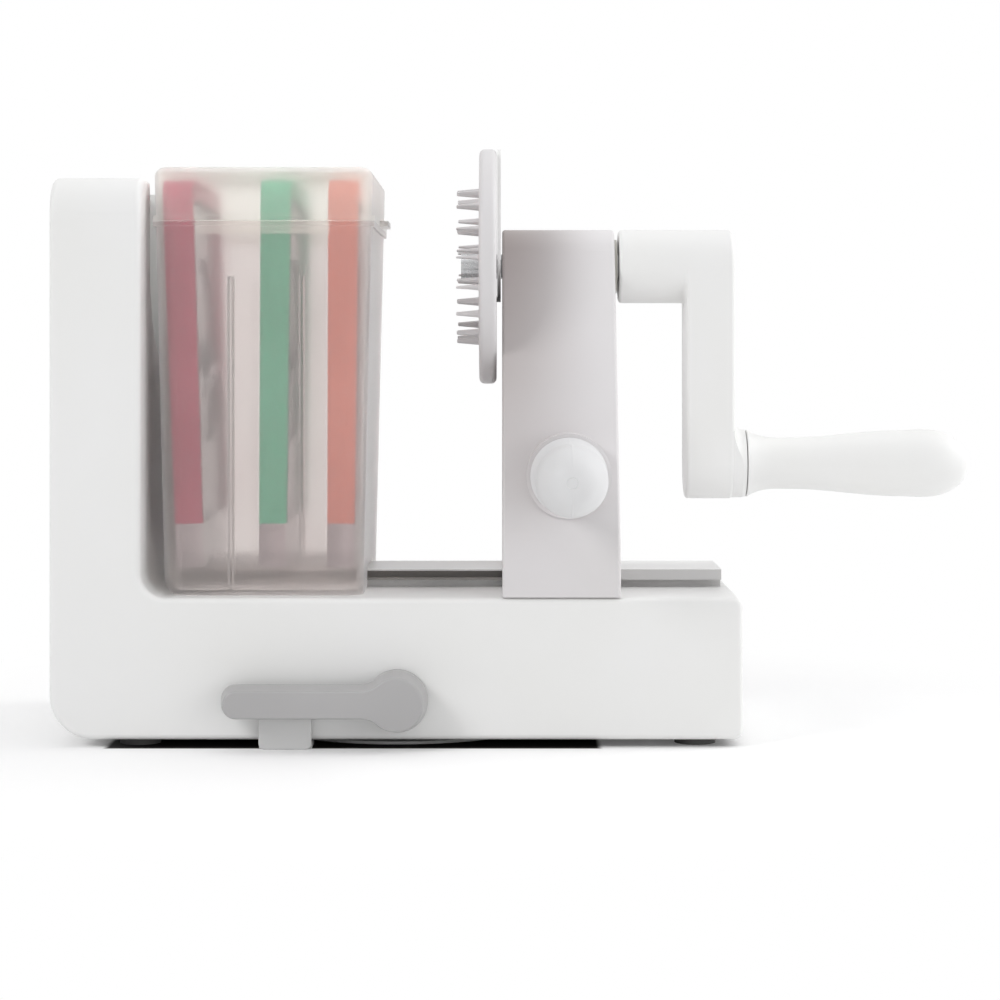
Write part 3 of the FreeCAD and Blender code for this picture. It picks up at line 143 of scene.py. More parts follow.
def paperFloor():
    # matt white paper sweep, which burns out to white away from the object and keeps its shadow, with a painted shadow
    # right under the base
    material, tree = newMaterial("paper, matt white")
    place = addNode(tree, "ShaderNodeTexCoord").outputs["Object"]
    seen = seenPart(tree)
    under = paintedShadowUnderBase(tree, place)
    fibre = addNode(tree, "ShaderNodeTexNoise", {"Scale": perMetre(stageSizes["fibre"]), "Detail": 3.0},
                    {"Vector": place})
    bump = addNode(tree, "ShaderNodeBump", {"Strength": 0.05, "Distance": 0.1 * mm}, {"Height": fibre.outputs["Fac"]})
    # painted shadow: the paper turns near black right under the base
    tone = addNode(tree, "ShaderNodeMix", {6: fromHex(stageSizes["paper"]), 7: fromHex(stageSizes["under"])},
                   {0: under}, data_type="RGBA")
    paper = addNode(tree, "ShaderNodeBsdfPrincipled", {"Roughness": 0.9, "Specular IOR Level": 0.1},
                    {"Base Color": tone.outputs[2], "Normal": bump.outputs["Normal"]})
    # a little glow, except under the base
    bare = addNode(tree, "ShaderNodeMath", {0: 1.0}, {1: under}, operation="SUBTRACT")
    strength = addNode(tree, "ShaderNodeMath", None, {0: seen, 1: bare.outputs[0]}, operation="MULTIPLY")
    strength = addNode(tree, "ShaderNodeMath", {1: stageSizes["lift"]}, {0: strength.outputs[0]},
                       operation="MULTIPLY")
    lift = addNode(tree, "ShaderNodeEmission", {"Color": (1, 1, 1, 1)}, {"Strength": strength.outputs[0]})
    near = addNode(tree, "ShaderNodeAddShader", None, {0: paper.outputs[0], 1: lift.outputs[0]})
    # white further out
    off = addNode(tree, "ShaderNodeVectorMath", {1: stageSizes["middle"]}, {0: place}, operation="DISTANCE")
    fade = addNode(tree, "ShaderNodeMapRange",
                   {"From Min": stageSizes["shadowNear"], "From Max": stageSizes["shadowFar"]},
                   {"Value": off.outputs["Value"]}, interpolation_type="SMOOTHSTEP")
    white = addNode(tree, "ShaderNodeEmission", {"Color": (1, 1, 1, 1), "Strength": 1.0})
    amount = addNode(tree, "ShaderNodeMath", None, {0: fade.outputs["Result"], 1: seen}, operation="MULTIPLY")
    mix = addNode(tree, "ShaderNodeMixShader", None, {0: amount.outputs[0], 1: near.outputs[0], 2: white.outputs[0]})
    addNode(tree, "ShaderNodeOutputMaterial", None, {"Surface": mix.outputs[0]})
    return material


def buildStage():
    half = stageSizes["floorHalf"]
    mesh = bpy.data.meshes.new("floor")
    mesh.from_pydata([(-half, -half, 0), (half, -half, 0), (half, half, 0), (-half, half, 0)], [], [(0, 1, 2, 3)])
    mesh.materials.append(paperFloor())
    floor = bpy.data.objects.new("floor", mesh)
    scene.collection.objects.link(floor)


def buildLight():
    world = bpy.data.worlds.new("studio")
    scene.world = world
    world.use_nodes = True
    tree = world.node_tree
    tree.nodes.clear()
    room = addNode(tree, "ShaderNodeBackground",
                   {"Color": fromHex(roomLight["colour"]), "Strength": roomLight["strength"]})
    white = addNode(tree, "ShaderNodeBackground", {"Color": (1, 1, 1, 1), "Strength": 1.0})
    mix = addNode(tree, "ShaderNodeMixShader", None, {0: seenPart(tree), 1: room.outputs[0], 2: white.outputs[0]})
    addNode(tree, "ShaderNodeOutputWorld", None, {"Surface": mix.outputs[0]})
    for name, (place, aim, size, watts) in lamps.items():
        data = bpy.data.lights.new(name, "AREA")
        data.size = size
        data.energy = watts
        lamp = bpy.data.objects.new(name, data)
        lamp.location = place
        lamp.rotation_euler = (Vector(aim) - Vector(place)).to_track_quat("-Z", "Y").to_euler()
        scene.collection.objects.link(lamp)


scene.view_settings.view_transform = "Standard"
buildStage()
buildLight()
print("stage ready")


# Materials, with grain and depth in mm. Most of a noise lies between 0.3 and 0.7, so its ramps run from there to there

noiseRange = {"From Min": 0.3, "From Max": 0.7}


def mouldedPlastic(name, colour, tint, roughness=0.42, grain=0.7, depth=0.04, specular=0.5):
    # injection moulded: even colour with a faint flow tint, fine spark-eroded grain, soft highlight
    material, tree = newMaterial(name)
    place = addNode(tree, "ShaderNodeTexCoord").outputs["Object"]
    flow = addNode(tree, "ShaderNodeTexNoise", {"Scale": perMetre(45), "Detail": 2.0, "Roughness": 0.4},
                   {"Vector": place})
    ramp = addNode(tree, "ShaderNodeMapRange", noiseRange, {"Value": flow.outputs["Fac"]})
    body = addNode(tree, "ShaderNodeMix", {6: fromHex(colour), 7: fromHex(tint)}, {0: ramp.outputs[0]},
                   data_type="RGBA")
    spark = addNode(tree, "ShaderNodeTexNoise", {"Scale": perMetre(grain), "Detail": 4.0, "Roughness": 0.6},
                    {"Vector": place})
    gloss = addNode(tree, "ShaderNodeMapRange",
                    {**noiseRange, "To Min": roughness - 0.04, "To Max": roughness + 0.05},
                    {"Value": spark.outputs["Fac"]})
    bump = addNode(tree, "ShaderNodeBump", {"Strength": 0.35, "Distance": depth * mm}, {"Height": spark.outputs["Fac"]})
    shader = addNode(tree, "ShaderNodeBsdfPrincipled", {"IOR": 1.5, "Specular IOR Level": specular},
                     {"Base Color": body.outputs[2], "Roughness": gloss.outputs[0], "Normal": bump.outputs["Normal"]})
    addNode(tree, "ShaderNodeOutputMaterial", None, {"Surface": shader.outputs[0]})
    return material


def baseColour(tree):
    shader = next(node for node in tree.nodes if node.type == "BSDF_PRINCIPLED")
    socket = shader.inputs["Base Color"]
    return socket, socket.links[0].from_socket


def objectPlace(tree):
    place = addNode(tree, "ShaderNodeTexCoord")
    apart = addNode(tree, "ShaderNodeSeparateXYZ", None, {0: place.outputs["Object"]})
    return apart.outputs["X"], apart.outputs["Z"]


# painted shade and painted light on the rail: dark in the groove, light on its foot and its top edge
railShade = {"right": 75.5, "grooveLow": 60.35, "grooveHigh": 63.95, "topLow": 64.55,
             "groove": "8c8885", "foot": "fbfbfa", "top": "f4f4f3"}
# painted shadow of the food holder on the carriage, with a warm painted reflection
paintedDiscShadow = {"left": 41.0, "right": 86.5, "low": 58.0, "high": 200.0, "lowShare": 0.12, "colour": "a9a09e"}


def shadeRail(material):
    # painted shade darkens the groove along the left part of the rail, while painted light brightens its foot there and
    # its top edge
    tree = material.node_tree
    socket, colour = baseColour(tree)
    x, z = objectPlace(tree)
    left = addNode(tree, "ShaderNodeMath", {1: railShade["right"] * mm}, {0: x}, operation="LESS_THAN")
    below = addNode(tree, "ShaderNodeMath", {1: railShade["grooveHigh"] * mm}, {0: z}, operation="LESS_THAN")
    above = addNode(tree, "ShaderNodeMath", {1: railShade["grooveLow"] * mm}, {0: z}, operation="GREATER_THAN")
    lower = addNode(tree, "ShaderNodeMath", {0: 1.0}, {1: above.outputs[0]}, operation="SUBTRACT")
    band = addNode(tree, "ShaderNodeMath", None, {0: left.outputs[0], 1: below.outputs[0]}, operation="MULTIPLY")
    groove = addNode(tree, "ShaderNodeMath", None, {0: band.outputs[0], 1: above.outputs[0]}, operation="MULTIPLY")
    foot = addNode(tree, "ShaderNodeMath", None, {0: lower.outputs[0], 1: left.outputs[0]}, operation="MULTIPLY")
    top = addNode(tree, "ShaderNodeMath", {1: railShade["topLow"] * mm}, {0: z}, operation="GREATER_THAN")
    for name, part in (("groove", groove), ("foot", foot), ("top", top)):
        tone = addNode(tree, "ShaderNodeMix", {7: fromHex(railShade[name])}, {0: part.outputs[0], 6: colour},
                       data_type="RGBA")
        colour = tone.outputs[2]
    tree.links.new(colour, socket)


def paintDiscShadow(material):
    # painted shadow of the food holder, warmed by a painted reflection of the blade box: the upper left of the carriage
    # is a darker tone, which fades to the right and downwards
    tree = material.node_tree
    socket, colour = baseColour(tree)
    x, z = objectPlace(tree)
    right = addNode(tree, "ShaderNodeMapRange",
                    {"From Min": paintedDiscShadow["left"] * mm, "From Max": paintedDiscShadow["right"] * mm}, {"Value": x},
                    interpolation_type="SMOOTHSTEP")
    high = addNode(tree, "ShaderNodeMapRange",
                   {"From Min": paintedDiscShadow["low"] * mm, "From Max": paintedDiscShadow["high"] * mm}, {"Value": z})
    left = addNode(tree, "ShaderNodeMath", {0: 1.0}, {1: right.outputs[0]}, operation="SUBTRACT")
    low = addNode(tree, "ShaderNodeMath", {0: 1.0}, {1: high.outputs[0]}, operation="SUBTRACT")
    near = addNode(tree, "ShaderNodeMath", None, {0: left.outputs[0], 1: high.outputs[0]}, operation="MULTIPLY")
    amount = addNode(tree, "ShaderNodeMath", {1: paintedDiscShadow["lowShare"]}, {0: low.outputs[0], 2: near.outputs[0]},
                     operation="MULTIPLY_ADD")
    tone = addNode(tree, "ShaderNodeMix", {7: fromHex(paintedDiscShadow["colour"])}, {0: amount.outputs[0], 6: colour},
                   data_type="RGBA")
    tree.links.new(tone.outputs[2], socket)


def frostedPlastic(name, colour, roughness, clearness, haze, index):
    # clear plastic with a milky skin: things close behind it show as soft shapes, its edges catch the light
    material, tree = newMaterial(name)
    place = addNode(tree, "ShaderNodeTexCoord").outputs["Object"]
    frost = addNode(tree, "ShaderNodeTexNoise", {"Scale": perMetre(0.9), "Detail": 3.0}, {"Vector": place})
    cloud = addNode(tree, "ShaderNodeTexNoise", {"Scale": perMetre(30), "Detail": 2.0}, {"Vector": place})
    ramp = addNode(tree, "ShaderNodeMapRange", noiseRange, {"Value": cloud.outputs["Fac"]})
    body = addNode(tree, "ShaderNodeMix", {6: fromHex(colour), 7: fromHex(haze)}, {0: ramp.outputs[0]},
                   data_type="RGBA")
    gloss = addNode(tree, "ShaderNodeMapRange",
                    {**noiseRange, "To Min": roughness - 0.03, "To Max": roughness + 0.03},
                    {"Value": frost.outputs["Fac"]})
    bump = addNode(tree, "ShaderNodeBump", {"Strength": 0.2, "Distance": 0.03 * mm}, {"Height": frost.outputs["Fac"]})
    shader = addNode(tree, "ShaderNodeBsdfPrincipled",
                     {"IOR": index, "Transmission Weight": clearness, "Sheen Weight": 0.6, "Sheen Roughness": 0.45},
                     {"Base Color": body.outputs[2], "Roughness": gloss.outputs[0], "Normal": bump.outputs["Normal"]})
    # lamp light reaches what is inside
    path = addNode(tree, "ShaderNodeLightPath")
    through = addNode(tree, "ShaderNodeBsdfTransparent", {"Color": (1.0, 1.0, 1.0, 1.0)})
    mix = addNode(tree, "ShaderNodeMixShader", None,
                  {0: path.outputs["Is Shadow Ray"], 1: shader.outputs[0], 2: through.outputs[0]})
    addNode(tree, "ShaderNodeOutputMaterial", None, {"Surface": mix.outputs[0]})
    return material


def groundSteel(name, colour, lineColour, roughness):
    # stainless strip: bright, with fine drawing lines along it
    material, tree = newMaterial(name)
    place = addNode(tree, "ShaderNodeTexCoord")
    stretch = addNode(tree, "ShaderNodeMapping", {"Scale": (1.0, 0.06, 1.0)}, {"Vector": place.outputs["Object"]})
    lines = addNode(tree, "ShaderNodeTexNoise", {"Scale": perMetre(0.35), "Detail": 3.0},
                    {"Vector": stretch.outputs["Vector"]})
    gloss = addNode(tree, "ShaderNodeMapRange",
                    {**noiseRange, "To Min": roughness - 0.06, "To Max": roughness + 0.08},
                    {"Value": lines.outputs["Fac"]})
    tone = addNode(tree, "ShaderNodeMix", {6: fromHex(colour), 7: fromHex(lineColour)}, {0: lines.outputs["Fac"]},
                   data_type="RGBA")
    bump = addNode(tree, "ShaderNodeBump", {"Strength": 0.2, "Distance": 0.01 * mm}, {"Height": lines.outputs["Fac"]})
    shader = addNode(tree, "ShaderNodeBsdfPrincipled", {"Metallic": 1.0},
                     {"Base Color": tone.outputs[2], "Roughness": gloss.outputs[0], "Normal": bump.outputs["Normal"]})
    addNode(tree, "ShaderNodeOutputMaterial", None, {"Surface": shader.outputs[0]})
    return material


whiteAbs = mouldedPlastic("ABS, white, fine satin grain", "efefee", "ededeb", specular=0.25)
carriageAbs = mouldedPlastic("ABS, warm white, fine satin grain", "e4e2e3", "e0dede", 0.40, specular=0.25)
holderAbs = mouldedPlastic("ABS, white, a little greyer, fine satin grain", "dddbdc", "dad8d8", 0.40, specular=0.3)
knobAbs = mouldedPlastic("ABS, white, matt grip", "dededf", "dcdcdc", 0.46, 0.8, 0.05, 0.25)
leverAbs = mouldedPlastic("ABS, mid grey, satin", "b0afaf", "abaaaa", 0.40)
# dark grey, which also darkens the gap under the base as painted shade
coverAbs = mouldedPlastic("ABS, dark grey, fine satin grain", "2f2d2c", "2b2928", 0.5)
railPom = mouldedPlastic("acetal, light grey, satin rail", "d4d3d2", "cfcecd", 0.36, 2.5, 0.004, 0.3)
bearingPom = mouldedPlastic("acetal, natural, turned", "dfddd4", "d8d6cc", 0.35, 0.5, 0.02)
raspberryPp = mouldedPlastic("polypropylene, raspberry, satin", "9a1542", "93123e", 0.38)
greenPp = mouldedPlastic("polypropylene, green, satin", "3f9c79", "3b9572", 0.38)
coralPp = mouldedPlastic("polypropylene, coral, satin", "c06a58", "ba6352", 0.38)
cupRubber = mouldedPlastic("thermoplastic rubber, grey, matt", "dededd", "d9d9d8", 0.62, 0.9, 0.05, 0.35)
# dark grey, which also darkens the gap under the base as painted shade
footRubber = mouldedPlastic("rubber, dark grey, matt", "6e6d6c", "666564", 0.75, 0.8, 0.06, 0.25)
frostedPp = frostedPlastic("polypropylene, frosted", "f1ecea", 0.35, 0.90, "ede7e5", 1.12)
lidPp = frostedPlastic("polypropylene, frosted, thin lid", "f8f6f2", 0.35, 0.86, "f5f3ef", 1.12)
bladeSan = frostedPlastic("SAN, clear with a milky skin", "c6babd", 0.2, 0.93, "c0b4b9", 1.3)
steel = groundSteel("stainless steel, ground", "d0d1d2", "b9babc", 0.28)
shadeRail(railPom)
paintDiscShadow(carriageAbs)

finishes = {
    "white_plastic": whiteAbs, "rail_plastic": railPom, "frosted_plastic": frostedPp, "clear_plastic": bladeSan,
    "raspberry_plastic": raspberryPp, "green_plastic": greenPp, "coral_plastic": coralPp, "grey_plastic": leverAbs,
    "bearing_plastic": bearingPom, "cover_plastic": coverAbs, "cup_rubber": cupRubber, "foot_rubber": footRubber,
    "steel": steel,
}
ownFinish = {"carriage_shell": carriageAbs, "box_lid": lidPp}
for part in frame["record"]["subparts"]:
    name = part["node"]
    mesh = nodes[name].data
    mesh.materials.clear()
    mesh.materials.append(ownFinish.get(name, finishes[part["material_slot"]]))
print("materials ready")


# Building pieces in mesh code

def placeMesh(bm, name, body, replaced, material, sharp=32):
    # smooth faces with sharp edges only at real corners
    bmesh.ops.recalc_face_normals(bm, faces=bm.faces)
    for face in bm.faces:
        face.smooth = True
    for edge in bm.edges:
        if len(edge.link_faces) == 2 and edge.calc_face_angle() > math.radians(sharp):
            edge.smooth = False
    mesh = bpy.data.meshes.new(name)
    bm.to_mesh(mesh)
    bm.free()
    mesh.materials.append(material)
    piece = bpy.data.objects.new(name, mesh)
    scene.collection.objects.link(piece)
    if isinstance(body, str):
        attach(piece, body)
    else:
        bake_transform(piece)  # two bodies, and where the bend starts and ends; nothing bends, the piece is only baked where it stands
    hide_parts(replaced)
    return piece


def plainMesh(piece):
    # the result of the piece's modifiers as one mesh
    view = bpy.context.evaluated_depsgraph_get()
    mesh = bpy.data.meshes.new_from_object(piece.evaluated_get(view))
    bpy.data.objects.remove(piece)
    return mesh


def meshObject(name, mesh):
    piece = bpy.data.objects.new(name, mesh)
    scene.collection.objects.link(piece)
    return piece


def looseObject(name, bm):
    mesh = bpy.data.meshes.new(name)
    bm.to_mesh(mesh)
    bm.free()
    return meshObject(name, mesh)


def cutWith(piece, tool):
    cut = piece.modifiers.new("cut", "BOOLEAN")
    cut.operation = "DIFFERENCE"
    cut.solver = "EXACT"
    cut.object = tool
    mesh = plainMesh(piece)
    bpy.data.objects.remove(tool)
    return mesh


def addMesh(bm, mesh):
    bm.from_mesh(mesh)
    bpy.data.meshes.remove(mesh)


def boxMesh(bm, low, high):
    made = bmesh.ops.create_cube(bm, size=1.0)["verts"]
    for vert in made:
        vert.co = Vector([(low[i] if vert.co[i] < 0 else high[i]) * mm for i in range(3)])


def skinRings(bm, rings):
    for low, high in zip(rings, rings[1:]):
        count = max(len(low), len(high))
        for i in range(count):
            j = (i + 1) % count
            corners = [low[i % len(low)], low[j % len(low)], high[j % len(high)], high[i % len(high)]]
            corners = list(dict.fromkeys(corners))
            if len(corners) > 2:
                bm.faces.new(corners)


def turn(bm, profile, start, way, up, steps=96, seam=0.0):
    # turned form from (along, radius) pairs in mm; a third entry marks where the mould line stands out by seam
    side = way.cross(up)
    angles = [math.tau * i / steps for i in range(steps)]
    if seam:
        half = 0.014  # half width of the mould line, as an angle
        angles = sorted(angles + [half, math.pi - half, math.pi + half, math.tau - half])
    rings = []
    for entry in profile:
        along, radius = entry[:2]
        centre = start + way * along
        if radius < 1e-6:
            rings.append([bm.verts.new(centre * mm)])
            continue
        ring = []
        for angle in angles:
            onSeam = seam and len(entry) > 2 and abs(math.sin(angle)) < 1e-6
            reach = radius + (seam if onSeam else 0.0)
            ring.append(bm.verts.new((centre + (up * math.cos(angle) + side * math.sin(angle)) * reach) * mm))
        rings.append(ring)
    skinRings(bm, rings)


def arcPairs(along, radius, size, begin, finish, steps=6):
    # arc in the profile, angles in degrees
    pairs = []
    for i in range(steps + 1):
        angle = math.radians(begin + (finish - begin) * i / steps)
        pairs.append((along + size * math.cos(angle), radius + size * math.sin(angle)))
    return pairs


def straightPairs(first, last, steps):
    # straight line in the profile, without its last point
    return [tuple(first[k] + (last[k] - first[k]) * i / steps for k in (0, 1)) for i in range(steps)]


def waistPairs(knots, steps=14):
    # smooth curve through (along, radius, slope) knots
    pairs = []
    for (x0, r0, s0), (x1, r1, s1) in zip(knots, knots[1:]):
        span = x1 - x0
        for i in range(steps):
            t = i / steps
            a, b = 2 * t**3 - 3 * t**2 + 1, t**3 - 2 * t**2 + t
            c, d = -2 * t**3 + 3 * t**2, t**3 - t**2
            pairs.append((x0 + span * t, a * r0 + b * span * s0 + c * r1 + d * span * s1, True))
    return pairs


# Handles: the one on the crank turns on its pin, the one on the carriage is fixed

handleForm = {"end": 9.5, "dome": 4.75, "lip": 0.5, "rootLean": 0.9, "gate": 2.2, "gateDepth": 0.25, "seam": 0.07}
crankHandle = {"length": 91.5, "root": 13.7, "neck": 10.5, "neckPlace": 18.5, "bulge": 13.5, "bulgePlace": 63.0,
               "start": (140.6, 0.0, 106.4), "mouth": 8.0, "mouthDepth": 12.5, "bore": 4.06, "boreDepth": 77.0,
               **handleForm}
pushHandle = {"length": 50.0, "root": 15.0, "neck": 11.5, "neckPlace": 14.0, "bulge": 13.6, "bulgePlace": 36.0,
              "start": (66.7, -60.0, 104.0), **handleForm}


def handleProfile(sizes, inner):
    # inner profile first, then the root, the waisted skin, the domed end and the sunk gate mark in its middle
    ball = (sizes["end"] ** 2 + sizes["dome"] ** 2) / (2 * sizes["dome"])
    crown = sizes["length"] - sizes["dome"]
    middle = sizes["length"] - ball
    lip = sizes["lip"]
    knots = [
        (lip, sizes["root"], -sizes["root"] / sizes["neckPlace"] * sizes["rootLean"]),
        (sizes["neckPlace"], sizes["neck"], 0.0),
        (sizes["bulgePlace"], sizes["bulge"], 0.0),
        (crown, sizes["end"], (middle - crown) / sizes["end"]),
    ]
    pairs = inner + arcPairs(lip, sizes["root"] - lip, lip, 180, 90, 4) + waistPairs(knots)
    rim = math.atan2(sizes["end"], crown - middle)
    gate = sizes["gate"] / ball
    for i in range(9):
        angle = rim + (gate - rim) * i / 8
        pairs.append((middle + ball * math.cos(angle), ball * math.sin(angle), True))
    sunk = sizes["gateDepth"]
    pairs.append((middle + (ball - sunk) * math.cos(gate), (ball - sunk) * math.sin(gate) - sunk))
    pairs.append((sizes["length"] - sunk, 0.0))
    return pairs


def buildHandles():
    sizes = crankHandle
    bore = [(sizes["boreDepth"], 0.0), (sizes["boreDepth"], sizes["bore"]), (sizes["mouthDepth"], sizes["bore"]),
            (sizes["mouthDepth"], sizes["mouth"]), (0.0, sizes["mouth"])]
    bm = bmesh.new()
    turn(bm, handleProfile(sizes, bore), Vector(sizes["start"]), rightward, upward, 120, sizes["seam"])
    placeMesh(bm, "crank_handle", "crank_grip", "crank_grip", whiteAbs)
    sizes = pushHandle
    bm = bmesh.new()
    turn(bm, handleProfile(sizes, [(0.0, 0.0)]), Vector(sizes["start"]), frontward, upward, 120, sizes["seam"])
    placeMesh(bm, "push_handle", "carriage", "side_handle", knobAbs)


# Lock lever: a tapered bar with a round boss, its front edge broken by a soft bevel

lever = {"place": (0.6, 18.5), "boss": 11.8, "reach": 67.1, "half": 6.7, "end": 5.6, "hollow": 9.0,
         "back": -65.4, "armBack": -70.4, "front": -80.5, "draft": 1.4, "soft": 0.9, "backEdge": 0.35,
         "bossEdge": 0.4, "bossTaper": 0.1, "bossOverlap": 0.5}


def leverRing(bm, inset, y):
    x0, z0 = lever["place"]
    boss, half, hollow = lever["boss"] - inset, lever["half"] - inset, lever["hollow"] + inset
    end = min(lever["end"] - inset / 2, half)
    tip = x0 - lever["reach"] + inset
    reach = math.sqrt((boss + hollow) ** 2 - (half + hollow) ** 2)
    lean = math.atan2(half + hollow, reach)
    upper = []
    for i in range(31):  # half of the boss, from its right side over the top
        angle = (math.pi - lean) * i / 30
        upper.append((x0 + boss * math.cos(angle), z0 + boss * math.sin(angle)))
    for i in range(1, 9):  # hollow curve to the arm
        angle = -lean + (lean - math.pi / 2) * i / 8
        upper.append((x0 - reach + hollow * math.cos(angle), z0 + half + hollow + hollow * math.sin(angle)))
    for i in range(9):  # rounded end
        angle = math.pi / 2 + math.pi / 2 * i / 8
        upper.append((tip + end + end * math.cos(angle), z0 + half - end + end * math.sin(angle)))
    lower = [(x, 2 * z0 - z) for x, z in reversed(upper[1:])]
    return [bm.verts.new((x * mm, y * mm, z * mm)) for x, z in upper + lower]


def buildLever():
    bm = bmesh.new()
    front, soft, edge = lever["front"], lever["soft"], lever["backEdge"]
    rings = [leverRing(bm, edge, lever["armBack"]), leverRing(bm, 0.0, lever["armBack"] - edge)]
    for i in range(7):
        angle = math.pi / 2 * i / 6
        inset = lever["draft"] + soft * (1 - math.cos(angle))
        rings.append(leverRing(bm, inset, front + soft - soft * math.sin(angle)))
    skinRings(bm, rings)
    bm.faces.new(rings[0])
    bm.faces.new(rings[-1])
    edge = lever["bossEdge"]
    deep = lever["back"] - lever["armBack"] + lever["bossOverlap"]
    boss = [(0.0, 0.0)] + arcPairs(edge, lever["boss"] - edge, edge, 180, 90, 3)
    boss += [(deep, lever["boss"] - lever["bossTaper"]), (deep, 0.0)]
    start = Vector((lever["place"][0], lever["back"], lever["place"][1]))
    turn(bm, boss, start, frontward, upward, 72)
    placeMesh(bm, "lever_arm", "lock_lever", "lock_lever", leverAbs, 28)


# Geometry Nodes: a tree takes named inputs and ends in real geometry with its material

def newTree(name, inputs):
    tree = bpy.data.node_groups.new(name, "GeometryNodeTree")
    tree.interface.new_socket("Geometry", in_out="OUTPUT", socket_type="NodeSocketGeometry")
    for label, kind in inputs.items():
        tree.interface.new_socket(label, in_out="INPUT", socket_type="NodeSocket" + kind)
    return tree, tree.nodes.new("NodeGroupInput")


def closeTree(tree, source, geometry):
    whole = addNode(tree, "GeometryNodeRealizeInstances", None, {0: geometry})
    finish = addNode(tree, "GeometryNodeSetMaterial", None, {0: whole.outputs[0], 2: source.outputs["Material"]})
    addNode(tree, "NodeGroupOutput", None, {0: finish.outputs[0]})


def runTree(piece, tree, values):
    modifier = piece.modifiers.new("repeat", "NODES")
    modifier.node_group = tree
    for item in tree.interface.items_tree:
        if item.in_out == "INPUT" and item.name in values:
            modifier[item.identifier] = values[item.name]
    return plainMesh(piece)


# Screws: pan heads with a cross recess, heads down, set on their points

screwForm = {"pitch": 1.0, "thread": 0.25, "plain": 2.2, "tip": 1.0, "tipRadius": 0.55, "edge": 0.5, "face": 0.7,
             "crossLong": 0.58, "crossWide": 0.12, "crossDeep": 0.5}
screwSets = {
    "cover_screw": {"node": "cover_screws", "body": "base",
                    "head": 3.0, "headHigh": 1.6, "shank": 1.4, "length": 14.0,
                    "low": 3.0, "points": [(-80, -52), (-80, 52), (98, -52), (98, 52)]},
    "rail_screw": {"node": "rail_screws", "body": "base",
                   "head": 3.4, "headHigh": 2.2, "shank": 1.8, "length": 9.5,
                   "low": 52.4, "points": [(-70, 0), (10, 0), (112, 0)]},
    "carriage_screw": {"node": "carriage_screws", "body": "carriage",
                       "head": 3.0, "headHigh": 1.8, "shank": 1.6, "length": 18.15,
                       "low": 58.8, "points": [(50.9, -50), (50.9, 50), (76.5, -50), (76.5, 50)]},
}


def screwObject(sizes):
    head, high, shank, thread = sizes["head"], sizes["headHigh"], sizes["shank"], screwForm["thread"]
    edge = screwForm["edge"]
    profile = [(0.0, 0.0), (0.0, head - screwForm["face"])] + arcPairs(edge, head - edge, edge, 180, 90, 4)
    profile += [(high, head), (high, shank)]
    along = high
    while along < sizes["length"] - screwForm["plain"]:
        profile += [(along + 0.25, shank - thread), (along + 0.6, shank - thread), (along + 0.85, shank)]
        along += screwForm["pitch"]
    profile += [(sizes["length"] - screwForm["tip"], shank * screwForm["tipRadius"]), (sizes["length"], 0.0)]
    bm = bmesh.new()
    turn(bm, profile, origin, upward, rightward, 32)
    bmesh.ops.recalc_face_normals(bm, faces=bm.faces)
    screw = looseObject("screw", bm)
    long, wide = head * screwForm["crossLong"], head * screwForm["crossWide"]
    for x, y in ((long, wide), (wide, long)):
        bm = bmesh.new()
        boxMesh(bm, (-x, -y, -1.0), (x, y, high * screwForm["crossDeep"]))
        screw = meshObject("screw", cutWith(screw, looseObject("cross", bm)))
    return screw


def buildScrews():
    tree, source = newTree("screws on points", {"Geometry": "Geometry", "Screw": "Object", "Material": "Material"})
    screw = addNode(tree, "GeometryNodeObjectInfo", None, {"Object": source.outputs["Screw"]})
    put = addNode(tree, "GeometryNodeInstanceOnPoints", None,
                  {"Points": source.outputs["Geometry"], "Instance": screw.outputs["Geometry"]})
    closeTree(tree, source, put.outputs[0])
    for name, sizes in screwSets.items():
        made = screwObject(sizes)
        bm = bmesh.new()
        for x, y in sizes["points"]:
            bm.verts.new((x * mm, y * mm, sizes["low"] * mm))
        mesh = runTree(looseObject(name, bm), tree, {"Screw": made, "Material": steel})
        bpy.data.objects.remove(made)
        bm = bmesh.new()
        addMesh(bm, mesh)
        placeMesh(bm, name + "_set", sizes["body"], sizes["node"], steel, 35)


# Food holder: a disc with a raised rim, and rings of fins

holder = {"radius": 48.0, "front": 31.6, "back": 38.6, "height": 187.0, "edge": 2.2,
          "rimWidth": 3.0, "rimStep": 0.5, "rimFoot": 0.8, "rimMiddle": 0.35, "rimFace": 0.05,
          "bore": 5.0, "boreDepth": 5.6, "seat": 5.25, "seatDepth": 1.0,
          "hub": 11.5, "groove": (0.6, 1.6, 2.2), "grooveDepth": 0.3,
          "pocketHalf": 2.3, "pocketLow": 165.4, "pocketHigh": 174.8, "pocketDepth": 2.9}
fin = {"length": 9.6, "root": 3.4, "rootThick": 2.4, "tip": 1.7, "tipThick": 0.8, "taper": 0.6, "square": 0.55,
       "foot": [(-0.6, 2.2), (0.0, 1.9), (0.35, 1.35), (0.9, 1.0)],  # height and how much thicker it is there
       "shank": (0.3, 0.55, 0.8, 0.95), "top": [(0.12, 0.8), (0.0, 0.45)]}
finRings = {"outer": (16, 30.6, 5.0), "inner": (8, 15.5, 22.5)}  # count, radius, turn in degrees


